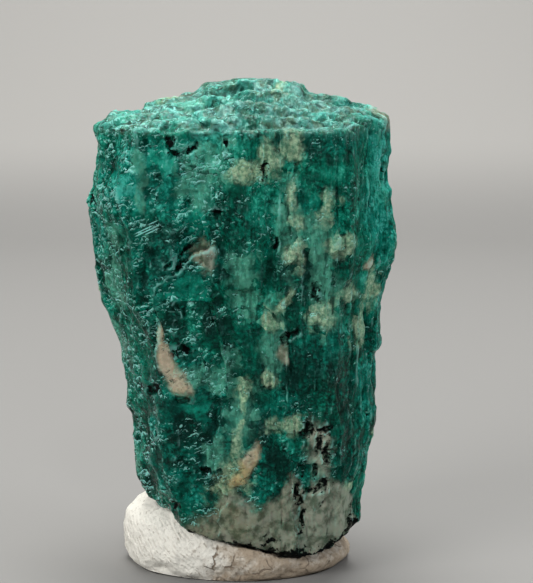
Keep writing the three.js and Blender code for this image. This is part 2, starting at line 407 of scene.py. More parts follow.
@dataclass
class Prism:
    """The crystal's six-sided shape with a broken foot and a stepped top, before its skin is added."""

    face_looks: Floats = field(default_factory=lambda: np.array([-90.0, -30, 30, 90, 150, 210]))
    face_away: Floats = field(default_factory=lambda: np.array([11.7, 15.4, 12.7, 11.7, 12.9, 15.4]))
    edge_crispness: float = 40.0
    heights: Floats = field(
        default_factory=lambda: np.array([2, 5, 8, 12, 16.5, 20, 25, 28, 31, 36, 40, 45, 50.0])
    )
    left: Floats = field(
        default_factory=lambda: np.array(
            [-7.0, -8, -10.3, -11.4, -11.9, -12.4, -12.8, -14, -15.4, -15.6, -16.4, -15.8, -15.6]
        )
    )
    right: Floats = field(
        default_factory=lambda: np.array(
            [11.3, 12.9, 13.3, 14.1, 15, 14.4, 14.5, 14.6, 15.2, 16.5, 15.9, 15.8, 15.6]
        )
    )
    front: Floats = field(
        default_factory=lambda: np.array(
            [-8.6, -9.4, -10, -10.5, -10.8, -11, -11.2, -11.3, -11.4, -11.6, -11.7, -11.7, -11.6]
        )
    )
    back: Floats = field(
        default_factory=lambda: np.array(
            [7.0, 8, 8.9, 9.6, 10.2, 10.6, 11, 11.2, 11.4, 11.6, 11.8, 11.8, 11.6]
        )
    )
    slabs: tuple[Slab, ...] = (
        Slab(-126, -100, 20, 31.5, 0.8),
        Slab(-121, -108, 34, 42, -0.6),
        Slab(-100, -76, 31, 49, 0.35),
        Slab(-70, -50, 14, 50, 0.4),
        Slab(-64, -40, 3, 13, -0.6),
        Slab(-150, -128, 5, 18, 0.4),
        Slab(-20, 8, 24, 42, 0.5),
        Slab(22, 42, 6, 36, -0.5),
        Slab(60, 88, 16, 50, 0.5),
        Slab(98, 118, 26, 46, -0.6),
        Slab(112, 140, 8, 24, 0.6),
        Slab(158, 180, 30, 50, 0.4),
    )
    slab_turn: float = 1.6
    slab_height: float = 0.7
    skyline_x: Floats = field(
        default_factory=lambda: np.array(
            [-16.6, -14, -13.6, -10.5, -10.1, -7.6, -4.5, -3.6, -0.6, 0, 3, 6.6, 7.4, 11, 14, 15.6, 16.6]
        )
    )
    skyline_z: Floats = field(
        default_factory=lambda: np.array(
            [47.6, 48.6, 49.5, 49.7, 50.6, 50.8, 51.6, 52.3, 52.6, 53.1, 53.1, 52.3, 51.4, 51, 50.2, 49, 47.8]
        )
    )
    rim: float = 47.7
    rise_from: float = -12.2
    rise_to: float = -2.0
    ledges: int = 4
    tread: float = 0.72
    back_share: float = 0.55
    back_from: float = 2.0
    back_to: float = 11.8
    top_edge: float = 0.35
    foot_lowest: float = 2.4
    foot_left_from: float = 4.0
    foot_left_slope: float = 0.42
    foot_right_from: float = 5.0
    foot_right_slope: float = 0.25
    foot_back_slope: float = 0.05
    foot_soft: float = 1.5
    foot_edge: float = 1.3

    def plan(self, angle: Floats) -> tuple[Floats, Floats]:
        """The six faces joined by rounded edges: the reach whose high power sums every face's pull.

        Args:
            angle: Directions from the axis, in radians.

        Returns:
            The plan's x and y in each direction.
        """
        facing = np.cos(angle[:, None] - np.radians(self.face_looks)[None, :])
        pull = np.maximum(facing, 0.0) / self.face_away
        reach = np.sum(pull**self.edge_crispness, axis=1) ** (-1.0 / self.edge_crispness)
        return reach * np.cos(angle), reach * np.sin(angle)

    def sides(self, z: Floats) -> tuple[Floats, Floats, Floats, Floats]:
        """Where the left, right, front and back sides stand at each height."""
        tracks = (self.left, self.right, self.front, self.back)
        return tuple(track(self.heights, values, z) for values in tracks)

    def slab_relief(self, angle: Floats, z: Floats) -> Floats:
        """How far the slabs stand out of the prism in each direction at each height."""
        out = np.zeros_like(z)
        degrees = np.degrees(angle)
        for slab in self.slabs:
            turn = np.mod(degrees - slab.start, 360.0)
            width = slab.end - slab.start
            across = smooth_step(0, self.slab_turn, turn) - smooth_step(width - self.slab_turn, width, turn)
            along = smooth_step(slab.low, slab.low + self.slab_height, z)
            along -= smooth_step(slab.high - self.slab_height, slab.high, z)
            out += slab.out * across * along
        return out

    def side(self, angle: Floats, z: Floats, grow: Floats) -> tuple[Floats, Floats]:
        """The prism's side, with its plan stretched between the four sides at each height.

        Args:
            angle: Directions from the axis.
            z: Heights.
            grow: How far each point is moved out from the axis.

        Returns:
            The side's x and y.
        """
        whole_turn = np.linspace(-math.pi, math.pi, 721)
        all_x, all_y = self.plan(whole_turn)
        x, y = self.plan(angle)
        left, right, front, back = self.sides(z)
        x = left + (right - left) * (x - all_x.min()) / (all_x.max() - all_x.min())
        y = front + (back - front) * (y - all_y.min()) / (all_y.max() - all_y.min())
        middle_x, middle_y = (left + right) / 2, (front + back) / 2
        reach = np.hypot(x - middle_x, y - middle_y)
        scale = 1.0 + (grow + self.slab_relief(angle, z)) / reach
        return middle_x + (x - middle_x) * scale, middle_y + (y - middle_y) * scale

    def top(self, x: Floats, y: Floats) -> Floats:
        """The rim, and above it a share of the skyline that grows backwards ledge by ledge."""
        level = np.zeros_like(x)
        plan = np.stack([x, y, level], axis=1)
        shaken_y = y + 1.3 * layered_noise(plan, 4.0, 401, 3)
        shaken_x = x + 0.5 * layered_noise(plan, 1.6, 402, 2)
        rise = np.clip((shaken_y - self.rise_from) / (self.rise_to - self.rise_from), 0.0, 1.0)
        share = terraces(rise * self.ledges, self.tread) / self.ledges
        fall = 1.0 + (self.back_share - 1.0) * smooth_step(self.back_from, self.back_to, shaken_y)
        skyline = np.interp(shaken_x, self.skyline_x, self.skyline_z)
        return self.rim + (skyline - self.rim) * share * fall

    def foot(self, x: Floats, y: Floats) -> Floats:
        """A trough that rises to the left, a little to the right, and gently to the back."""
        left = self.foot_left_slope * soft_ramp(self.foot_left_from - x, self.foot_soft)
        right = self.foot_right_slope * soft_ramp(x - self.foot_right_from, self.foot_soft)
        return self.foot_lowest + left + right + self.foot_back_slope * (y + 9.0)

    def surface(self, grid: BlockGrid) -> Floats:
        """The prism's corners: its side between the foot's and the top's edges, and its two ends.

        Args:
            grid: The block grid that the surface is laid over.

        Returns:
            One row of x, y, z for each corner.
        """
        angle, out, up = grid.corners()
        low = np.full_like(angle, self.foot_lowest)
        high = np.full_like(angle, self.rim)
        for _ in range(3):
            low = self.foot(*self.side(angle, low, -self.foot_edge))
            high = self.top(*self.side(angle, high, -self.top_edge))
        z = low + (high - low) * up
        inset = self.rounded(z - low, self.foot_edge) + self.rounded(high - z, self.top_edge)
        x, y = self.side(angle, z, -inset)
        left, right, front, back = self.sides(z)
        middle_x, middle_y = (left + right) / 2, (front + back) / 2
        x = middle_x + (x - middle_x) * out
        y = middle_y + (y - middle_y) * out
        on_end = out < 1.0
        z = np.where(on_end & (up == 0), self.foot(x, y), z)
        z = np.where(on_end & (up == 1), self.top(x, y), z)
        return np.stack([x, y, z], axis=1)

    @staticmethod
    def rounded(distance: Floats, edge: float) -> Floats:
        """How far a quarter-round edge stands in from the side, this far from the edge."""
        share = np.clip(1.0 - distance / edge, 0.0, 1.0)
        return edge * (1.0 - np.sqrt(1.0 - share * share))


# ---- What has grown into the crystal ----


class Kind(Enum):
    """What an inclusion is made of."""

    PALE = "pale green feldspar"
    CREAM = "cream feldspar"
    GREY = "grey feldspar"
    MILKY = "milky emerald"
    CLEAR = "clear bright emerald"
    MICA = "black mica"
    DEEP = "deep green window"


@dataclass(frozen=True)
class Inclusion:
    """An ellipsoid lump in the crystal, seen where the surface cuts it. turn leans it to the left."""

    kind: Kind
    centre: Colour
    half: tuple[float, float]
    turn: float = 0.0
    depth: float = 2.6

    def field(self, points: Floats) -> Floats:
        """One minus the distance from the centre in half sizes: above zero inside the lump."""
        away = points - np.array(self.centre)
        cos, sin = math.cos(math.radians(self.turn)), math.sin(math.radians(self.turn))
        sideways = away[:, 0] * cos + away[:, 2] * sin
        upwards = away[:, 2] * cos - away[:, 0] * sin
        scaled = (sideways / self.half[0]) ** 2 + (upwards / self.half[1]) ** 2
        return 1.0 - np.sqrt(scaled + (away[:, 1] / self.depth) ** 2)


FRONT_INCLUSIONS = (
    Inclusion(Kind.PALE, (3.2, -11.7, 45.2), (0.9, 1.7)),
    Inclusion(Kind.PALE, (5.4, -11.7, 45.8), (1.0, 1.7)),
    Inclusion(Kind.PALE, (0.9, -11.7, 43.5), (1.6, 0.8)),
    Inclusion(Kind.MILKY, (-9.9, -11.7, 42.0), (0.45, 4.4)),
    Inclusion(Kind.MILKY, (-4.0, -11.7, 41.6), (1.8, 1.9)),
    Inclusion(Kind.CLEAR, (-4.1, -11.6, 38.6), (1.2, 1.4)),
    Inclusion(Kind.GREY, (-3.4, -11.6, 35.3), (1.3, 1.3)),
    Inclusion(Kind.CLEAR, (-4.9, -11.4, 31.7), (2.6, 1.4), 25),
    Inclusion(Kind.CREAM, (-7.2, -11.3, 24.3), (0.8, 2.1), 20),
    Inclusion(Kind.CREAM, (-6.2, -11.2, 22.3), (1.0, 1.5), 42),
    Inclusion(Kind.CREAM, (-8.0, -11.4, 27.0), (0.3, 1.4), -4),
    Inclusion(Kind.MILKY, (-4.3, -11.1, 22.8), (1.3, 1.0), 20),
    Inclusion(Kind.MILKY, (-2.1, -11.1, 22.6), (1.8, 1.3)),
    Inclusion(Kind.MILKY, (-13.4, -6.4, 31.6), (1.2, 3.5)),
    Inclusion(Kind.MILKY, (-12.7, -7.4, 36.9), (0.9, 1.6)),
    Inclusion(Kind.PALE, (5.1, -11.7, 41.3), (0.6, 1.2)),
    Inclusion(Kind.PALE, (8.8, -11.7, 40.3), (0.8, 1.6)),
    Inclusion(Kind.MILKY, (7.2, -11.7, 38.8), (1.9, 0.9)),
    Inclusion(Kind.PALE, (5.7, -11.7, 38.9), (0.7, 0.8)),
    Inclusion(Kind.PALE, (10.5, -11.1, 36.5), (1.1, 1.3), 30),
    Inclusion(Kind.PALE, (5.6, -11.6, 35.1), (0.8, 1.4)),
    Inclusion(Kind.CREAM, (13.7, -6.1, 34.0), (0.5, 0.8)),
    Inclusion(Kind.PALE, (8.5, -11.8, 28.9), (1.5, 1.3)),
    Inclusion(Kind.PALE, (11.3, -9.8, 31.0), (1.0, 0.9)),
    Inclusion(Kind.PALE, (12.7, -7.8, 27.0), (0.8, 1.8)),
    Inclusion(Kind.PALE, (3.2, -11.3, 28.1), (0.8, 1.1), -20),
    Inclusion(Kind.PALE, (4.7, -11.4, 30.4), (0.4, 1.1), -15),
    Inclusion(Kind.MILKY, (1.4, -11.4, 30.1), (1.1, 1.6)),
    Inclusion(Kind.GREY, (4.5, -11.2, 25.2), (0.6, 0.9)),
    Inclusion(Kind.PALE, (3.2, -11.1, 22.4), (0.6, 0.7)),
    Inclusion(Kind.MILKY, (-0.7, -11.1, 24.0), (0.7, 2.0)),
    Inclusion(Kind.MILKY, (-1.2, -11.7, 46.4), (0.8, 0.9)),
    Inclusion(Kind.MILKY, (0.1, -10.9, 18.7), (1.4, 2.8), -10),
    Inclusion(Kind.PALE, (0.4, -11.0, 20.3), (0.5, 1.8)),
    Inclusion(Kind.CREAM, (0.9, -10.6, 13.6), (0.7, 2.1), -24),
    Inclusion(Kind.CREAM, (-0.3, -10.5, 11.6), (0.6, 1.0), -40),
    Inclusion(Kind.PALE, (-0.9, -10.5, 11.6), (1.5, 2.6), -28),
    Inclusion(Kind.PALE, (-0.2, -10.8, 16.3), (0.6, 2.2), -12),
    Inclusion(Kind.PALE, (4.7, -10.9, 17.6), (2.0, 0.8), 8),
    Inclusion(Kind.PALE, (5.8, -10.9, 17.8), (0.9, 0.9)),
    Inclusion(Kind.GREY, (8.3, -12.0, 13.9), (1.5, 3.9)),
    Inclusion(Kind.MILKY, (7.8, -10.6, 13.0), (0.9, 1.3)),
    Inclusion(Kind.MILKY, (5.0, -13.0, 38.5), (1.2, 4.6)),
    Inclusion(Kind.MILKY, (8.2, -12.9, 35.5), (1.6, 4.4)),
    Inclusion(Kind.MILKY, (9.2, -12.5, 30.0), (1.8, 2.8)),
    Inclusion(Kind.MILKY, (3.2, -12.6, 26.5), (1.2, 3.8)),
    Inclusion(Kind.MILKY, (0.4, -12.8, 33.0), (1.6, 3.0)),
    Inclusion(Kind.MILKY, (-3.4, -11.8, 44.3), (2.4, 1.8), -20),
    Inclusion(Kind.CLEAR, (-7.6, -11.8, 45.2), (1.6, 1.4)),
    Inclusion(Kind.PALE, (11.0, -9.3, 9.2), (0.6, 2.0), -20),
    Inclusion(Kind.MILKY, (-2.5, -10.7, 14.4), (1.2, 1.4)),
    Inclusion(Kind.MICA, (-6.6, -11.7, 46.6), (0.4, 0.8)),
    Inclusion(Kind.MICA, (-4.7, -11.7, 46.0), (1.0, 0.4), 25),
    Inclusion(Kind.MICA, (-6.0, -11.7, 45.3), (0.6, 0.5)),
    Inclusion(Kind.MICA, (-1.1, -11.7, 46.5), (0.3, 0.6), 30),
    Inclusion(Kind.MICA, (2.6, -11.7, 43.6), (0.4, 0.8)),
    Inclusion(Kind.MICA, (-2.0, -11.7, 39.8), (0.5, 0.4)),
    Inclusion(Kind.MICA, (-5.0, -11.6, 35.9), (0.25, 0.9), -40),
    Inclusion(Kind.MICA, (-5.5, -11.6, 34.2), (0.25, 0.8), -25),
    Inclusion(Kind.MICA, (-7.0, -11.6, 34.3), (0.2, 0.7), -50),
    Inclusion(Kind.MICA, (-8.3, -11.5, 29.0), (0.3, 0.5), 20),
    Inclusion(Kind.MICA, (3.8, -11.6, 36.5), (0.3, 1.1)),
    Inclusion(Kind.MICA, (8.0, -11.4, 31.4), (0.35, 1.5), 20),
    Inclusion(Kind.MICA, (5.0, -11.3, 27.1), (0.6, 1.4), -35),
    Inclusion(Kind.MICA, (-9.0, -11.0, 21.4), (0.8, 1.1), -30),
    Inclusion(Kind.MICA, (-8.9, -10.8, 16.5), (0.5, 0.6)),
    Inclusion(Kind.MICA, (-3.6, -10.6, 13.0), (0.9, 0.7)),
    Inclusion(Kind.MICA, (-7.5, -10.1, 8.7), (0.8, 0.5)),
    Inclusion(Kind.MICA, (-5.7, -11.2, 25.2), (0.9, 0.6), 20),
    Inclusion(Kind.MICA, (6.2, -10.3, 9.6), (0.35, 1.6), -4),
    Inclusion(Kind.MICA, (6.5, -9.8, 6.9), (0.3, 1.0), -14),
    Inclusion(Kind.MICA, (5.9, -9.9, 5.9), (0.6, 0.3), 30),
    Inclusion(Kind.MICA, (8.8, -10.3, 8.8), (0.15, 0.7), -25),
    Inclusion(Kind.MICA, (3.0, -9.3, 4.6), (0.8, 0.5), 30),
    Inclusion(Kind.MICA, (7.0, -10.8, 16.9), (1.0, 0.9), 20),
    Inclusion(Kind.MICA, (8.0, -10.7, 15.2), (0.5, 1.6), -8),
    Inclusion(Kind.MICA, (9.0, -10.7, 16.9), (1.0, 0.5)),
    Inclusion(Kind.MICA, (7.2, -10.6, 12.4), (0.35, 1.3), 15),
    Inclusion(Kind.MICA, (8.6, -10.3, 10.5), (1.8, 0.6), 22),
    Inclusion(Kind.MICA, (9.2, -10.7, 14.4), (0.7, 1.3)),
    Inclusion(Kind.MICA, (11.1, -8.5, 4.6), (1.4, 0.5), 20),
    Inclusion(Kind.MICA, (12.2, -7.4, 6.9), (0.5, 2.3), -10),
    Inclusion(Kind.MICA, (-16.1, -2.1, 40.2), (0.4, 1.5)),
    Inclusion(Kind.DEEP, (-7.3, -11.7, 41.8), (2.2, 2.0)),
    Inclusion(Kind.DEEP, (-8.4, -11.6, 37.3), (2.2, 1.8)),
    Inclusion(Kind.DEEP, (-13.2, -6.4, 44.1), (1.5, 2.5)),
    Inclusion(Kind.DEEP, (-10.6, -10.5, 27.5), (1.4, 3.0)),
    Inclusion(Kind.DEEP, (-6.5, -11.3, 28.1), (1.0, 2.2)),
    Inclusion(Kind.DEEP, (-2.4, -11.3, 28.6), (1.8, 2.4)),
    Inclusion(Kind.DEEP, (6.2, -11.1, 23.4), (4.0, 2.6)),
    Inclusion(Kind.DEEP, (0.0, -11.7, 40.3), (1.2, 2.2)),
    Inclusion(Kind.DEEP, (4.2, -11.5, 33.8), (1.4, 1.6)),
    Inclusion(Kind.DEEP, (-5.0, -10.8, 17.0), (2.4, 1.8)),
    Inclusion(Kind.DEEP, (8.2, -11.4, 32.2), (1.3, 1.9)),
    Inclusion(Kind.DEEP, (4.9, -11.3, 26.6), (1.2, 2.2), -25),
    Inclusion(Kind.DEEP, (6.2, -11.6, 34.4), (1.0, 2.2)),
    Inclusion(Kind.DEEP, (2.2, -11.1, 22.0), (0.9, 1.2)),
    Inclusion(Kind.DEEP, (3.7, -10.6, 13.3), (1.4, 2.4)),
    Inclusion(Kind.DEEP, (9.1, -11.7, 45.8), (2.2, 1.8)),
    Inclusion(Kind.DEEP, (-2.0, -10.5, 11.7), (1.2, 1.4)),
    Inclusion(Kind.CLEAR, (-4.5, -10.9, 19.7), (1.4, 1.0)),
)


@dataclass(frozen=True)
class FeldsparFoot:
    """The pale feldspar that the foot has grown into, and the black rim under it: mica that thickens on the
    right, and round the rest of the foot a thin dark line of painted shade.
    """

    border_x: tuple[float, ...] = (
        -7.5, -5.1, -2.7, -1.2, 0.6, 2.2, 3.6, 5.0, 6.0, 6.8, 8.0, 10.0, 11.6, 12.6, 13.6,
    )
    border_z: tuple[float, ...] = (
        4.0, 6.5, 8.2, 10.2, 9.2, 8.6, 9.6, 11.4, 11.8, 9.6, 10.9, 11.2, 9.6, 6.0, 1.0,
    )
    border_soft: float = 1.6
    side_x: float = 10.5  # past here, the border behind keeps the height that it has here
    behind: tuple[float, float] = (-2.5, 1.5)  # the depths between which the front's border gives way
    wander: float = 3.4  # how far the border behind rises and falls
    rim_from: float = -3.0
    rim_to: float = 1.0
    rim_thick: float = 0.80

    def field(self, points: Floats) -> Floats:
        """How far inside the feldspar each place is: its depth under a border line that follows x.

        Args:
            points: Places in millimetres.

        Returns:
            Values from -1 outside to 1 well inside.
        """
        x, y, z = points.T
        ragged = layered_noise(points, 2.4, 531, 4)
        aside = smooth_step(*self.behind, y)
        wandering = self.wander * aside * layered_noise(points, 4.6, 532, 3)
        across = x + (np.minimum(x, self.side_x) - x) * aside
        border = np.interp(across + 0.5 * ragged, self.border_x, self.border_z) + 0.8 * ragged + wandering
        soft = self.border_soft + 2.4 * smooth_step(3.0, -2.0, x)
        return np.clip((border - z) / soft, -1.0, 1.0)

    def rim_mica_and_shade_field(self, points: Floats, foot: Floats) -> Floats:
        """How far inside the black rim each place is: a thin line of painted shade all round the foot's lower
        edge, thickening into mica on the right.

        Args:
            points: Places in millimetres.
            foot: The height of the foot's broken underside at each place.

        Returns:
            Values from -1 outside to 1 well inside.
        """
        x, _, z = points.T
        # a thin line of painted shade all round, and on the right the mica's thickness
        thick = 0.15 + self.rim_thick * smooth_step(self.rim_from, self.rim_to, x)
        thick = thick * (1.0 + 0.8 * layered_noise(points, 1.6, 533, 2))
        return np.clip((thick - (z - foot)) / 0.5, -1.0, 1.0)


@dataclass(frozen=True)
class Scatter:
    """Inclusions strewn over the faces that the front list leaves bare."""

    kind: Kind
    count: int
    smallest: float
    largest: float
    tallness: float


SCATTERS = (
    Scatter(Kind.PALE, 26, 0.5, 1.5, 1.6),
    Scatter(Kind.CREAM, 5, 0.5, 1.2, 2.0),
    Scatter(Kind.GREY, 8, 0.7, 1.8, 1.3),
    Scatter(Kind.MILKY, 22, 0.8, 2.4, 1.6),
    Scatter(Kind.CLEAR, 12, 0.8, 1.8, 1.3),
    Scatter(Kind.MICA, 34, 0.3, 0.9, 1.5),
    Scatter(Kind.DEEP, 22, 1.2, 3.0, 1.5),
)


def scattered(points: Floats, seed: int) -> list[Inclusion]:
    """Picks places for the scattered inclusions on the sides, the back and the top.

    Args:
        points: The crystal's corners, to pick centres from.
        seed: Picks the draw.

    Returns:
        The inclusions, in the order of the draw.
    """
    draw = np.random.default_rng(seed)
    hidden = points[(points[:, 1] > -6.0) & (points[:, 2] > 4.0)]
    found = []
    for scatter in SCATTERS:
        for _ in range(scatter.count):
            centre = hidden[draw.integers(len(hidden))]
            half = draw.uniform(scatter.smallest, scatter.largest)
            tall = half * draw.uniform(1.0, scatter.tallness)
            turn = draw.uniform(-30.0, 30.0)
            if scatter.kind is not Kind.CREAM or centre[2] < 46.0:
                found.append(Inclusion(scatter.kind, tuple(centre), (half, tall), turn, half))
    return found


def kind_fields(points: Floats, inclusions: list[Inclusion]) -> dict[Kind, Floats]:
    """The strongest field of each kind at each place, from -1 far away to 1 at a centre.

    Args:
        points: Places in millimetres.
        inclusions: Every lump in the crystal.

    Returns:
        One array for each kind.
    """
    sway = [layered_noise(points, 2.2, 501 + axis, 4) for axis in range(3)]
    shaken = points + 0.7 * np.stack(sway, axis=1)
    steadier = points + 0.3 * np.stack(sway, axis=1)
    fields = {kind: np.full(len(points), -1.0) for kind in Kind}
    for lump in inclusions:
        place = steadier if lump.kind is Kind.CREAM else shaken
        fields[lump.kind] = np.maximum(fields[lump.kind], lump.field(place))
    return fields


# ---- The crystal's skin ----


@dataclass(frozen=True)
class Ledge:
    """A broken edge along a path on the front, as x and z: the skin stands out on the path's right."""

    path: tuple[tuple[float, float], ...]
    out: float
    fade: float

    def height(self, points: Floats) -> Floats:
        """The ledge's height: full beside the path on one side, and fading with distance from it.

        Args:
            points: Places in millimetres.

        Returns:
            How far the skin stands out at each place.
        """
        nearest = np.full(len(points), np.inf)
        side = np.zeros(len(points))
        beyond = np.zeros(len(points))
        place = points[:, [0, 2]]
        for start, end in zip(self.path, self.path[1:]):
            first = np.array(start)
            along = np.array(end) - first
            share = np.clip((place - first) @ along / (along @ along), 0.0, 1.0)
            away = place - first - share[:, None] * along
            distance = np.hypot(away[:, 0], away[:, 1])
            across = (along[0] * away[:, 1] - along[1] * away[:, 0]) / math.hypot(*along)
            closer = distance < nearest
            nearest = np.where(closer, distance, nearest)
            side = np.where(closer, across, side)
            beyond = np.where(closer, np.sqrt(np.maximum(distance**2 - across**2, 0.0)), beyond)
        cliff = smooth_step(-0.12, 0.12, side)
        return self.out * cliff * np.exp(-((nearest / self.fade) ** 2) - (beyond / 0.7) ** 2)


LEDGES = (
    Ledge(
        (
            (-3.3, 35.8),
            (-4.9, 35.1),
            (-6.4, 33.7),
            (-8.4, 32.3),
            (-8.8, 31.1),
            (-8.0, 29.9),
            (-8.3, 28.1),
            (-8.2, 26.1),
            (-8.0, 23.4),
            (-6.6, 21.3),
            (-5.0, 20.4),
        ),
        0.9,
        2.6,
    ),
    Ledge(((6.6, 17.5), (6.2, 13.0), (6.6, 8.5), (5.8, 4.0)), -0.3, 1.8),
    Ledge(((-1.8, 18.0), (-2.6, 14.0), (-1.6, 10.0), (-2.4, 6.0)), 0.3, 2.4),
)


@dataclass(frozen=True)
class Scratches:
    """A set of straight parallel scratches on the front's left, rising to the right."""

    middle: tuple[float, float] = (-9.2, 37.7)
    slope: float = 25.0
    half: float = 1.5
    lines: tuple[tuple[float, float, float], ...] = (
        (0.0, 0.0, 1.0),
        (0.24, -0.15, 0.8),
        (-0.26, 0.25, 0.6),
        (0.5, 0.6, 0.5),
    )

    def place(self, points: Floats) -> tuple[Floats, Floats]:
        """How far along the scratches each place is, in half lengths, and how far across, in millimetres."""
        x, z = points[:, 0] - self.middle[0], points[:, 2] - self.middle[1]
        turn = math.radians(self.slope)
        return (x * math.cos(turn) + z * math.sin(turn)) / self.half, z * math.cos(turn) - x * math.sin(turn)


SCRATCHES = Scratches()


@dataclass
class Skin:
    """The heights that turn the plain prism into a broken, striated and chipped natural surface."""

    sway: float = 0.35
    laths: float = 0.34
    striae: float = 0.085
    large_chips: float = 1.9
    middle_chips: float = 0.95
    small_chips: float = 0.42
    granules: float = 0.5
    pit: float = 0.5
    cream_lift: float = 0.25
    pale_lift: float = 0.18
    ledge_shake: float = 0.6  # how far noise shifts the places at which the ledges are read
    top: tuple[float, float] = (47.2, 48.2)  # the heights between which the broken top takes over
    front: tuple[float, float] = (-5.0, -8.0)  # the depths between which the front takes over
    foot: tuple[float, float] = (12.0, 8.0)  # the heights between which the foot's feldspar calms the skin
    foot_calm: float = 0.75
    kept_large: float = 0.35  # the share of each chip's depth that the unbroken faces keep
    kept_middle: float = 0.3
    kept_small: float = 0.45
    top_relief: float = 0.4
    set_back: float = 0.1
    most_out: float = 0.6
    most_in: float = 1.5

    def broken(self, points: Floats) -> Floats:
        """Where the surface is broken rather than striated: the front's left, and patches behind."""
        x, y, z = points.T
        wander = 1.6 * layered_noise(points, 5.0, 610, 2)
        front = smooth_step(2.5, -1.5, x + wander - 2.0 * smooth_step(24, 16, z))
        behind = smooth_step(-0.15, 0.3, layered_noise(points, 8.0, 611, 2))
        return np.where(y < -3.0, front, front + (behind - front) * smooth_step(-3.0, 0.0, y))

    def heights(self, points: Floats, fields: dict[Kind, Floats]) -> tuple[Floats, Floats]:
        """Sums the layers of the skin.

        Args:
            points: The prism's corners.
            fields: The inclusions' fields at the corners.

        Returns:
            How far each corner is moved along its normal, and how broken the surface is there.
        """
        _, y, z = points.T
        broken = self.broken(points)
        calm = 1.0 - self.foot_calm * smooth_step(0.0, 0.3, fields[Kind.GREY]) * smooth_step(*self.foot, z)
        on_top = smooth_step(*self.top, z)
        front = smooth_step(*self.front, y)

        tall = layered_noise(points, (1.5, 1.5, 13.0), 620, 3)
        lath = terraces(tall * 2.2 + 0.15 * layered_noise(points, 1.2, 621, 2), 0.78) / 2.2
        striae = layered_noise(points, (0.55, 0.55, 7.0), 622, 2)
        total = self.sway * layered_noise(points, 7.0, 623, 2)
        total += self.laths * lath * (1.0 - 0.35 * broken) * (1.0 - on_top)
        total += self.striae * striae * (1.0 - 0.7 * broken) * (1.0 - on_top) * calm

        large = chips(points, (3.6, 3.6, 5.2), 630)
        middle = chips(points, (1.7, 1.7, 2.3), 632)
        small = chips(points, 0.85, 634)
        for kept, depth, bowls in (
            (self.kept_large, self.large_chips, large),
            (self.kept_middle, self.middle_chips, middle),
            (self.kept_small, self.small_chips, small),
        ):
            total += calm * (kept + (1.0 - kept) * broken) * depth * bowls

        grain = chips(points, (1.1, 1.1, 1.5), 636, 0.4)
        total -= calm * self.granules * grain * (1.0 - broken) * (1.0 - 0.6 * on_top)
        total += on_top * self.top_relief * layered_noise(points, (1.6, 0.9, 1.6), 640, 3)

        sway = [layered_noise(points, 1.5, 650 + axis, 3) for axis in range(3)]
        shaken = points + self.ledge_shake * np.stack(sway, axis=1)
        for ledge in LEDGES:
            total += front * ledge.height(shaken)
        total -= self.pit * smooth_step(-0.1, 0.4, fields[Kind.MICA]) * (z > 6.0)
        total += self.cream_lift * smooth_step(0.0, 0.3, fields[Kind.CREAM])
        total += self.pale_lift * smooth_step(0.0, 0.2, fields[Kind.PALE]) * (z > 14.0)
        total -= np.median(total) + self.set_back
        outwards = self.most_out * np.tanh(total / self.most_out)
        inwards = self.most_in * np.tanh(total / self.most_in)
        return np.where(total > 0.0, outwards, inwards), broken


# ---- Laying out finishes ----

Socket = bpy.types.NodeSocket
Fed = Socket | float | Colour | tuple[float, float, float, float]


def solid(colour: Colour) -> tuple[float, float, float, float]:
    """A colour with full opacity, as a socket takes it."""
    return (*colour, 1.0)


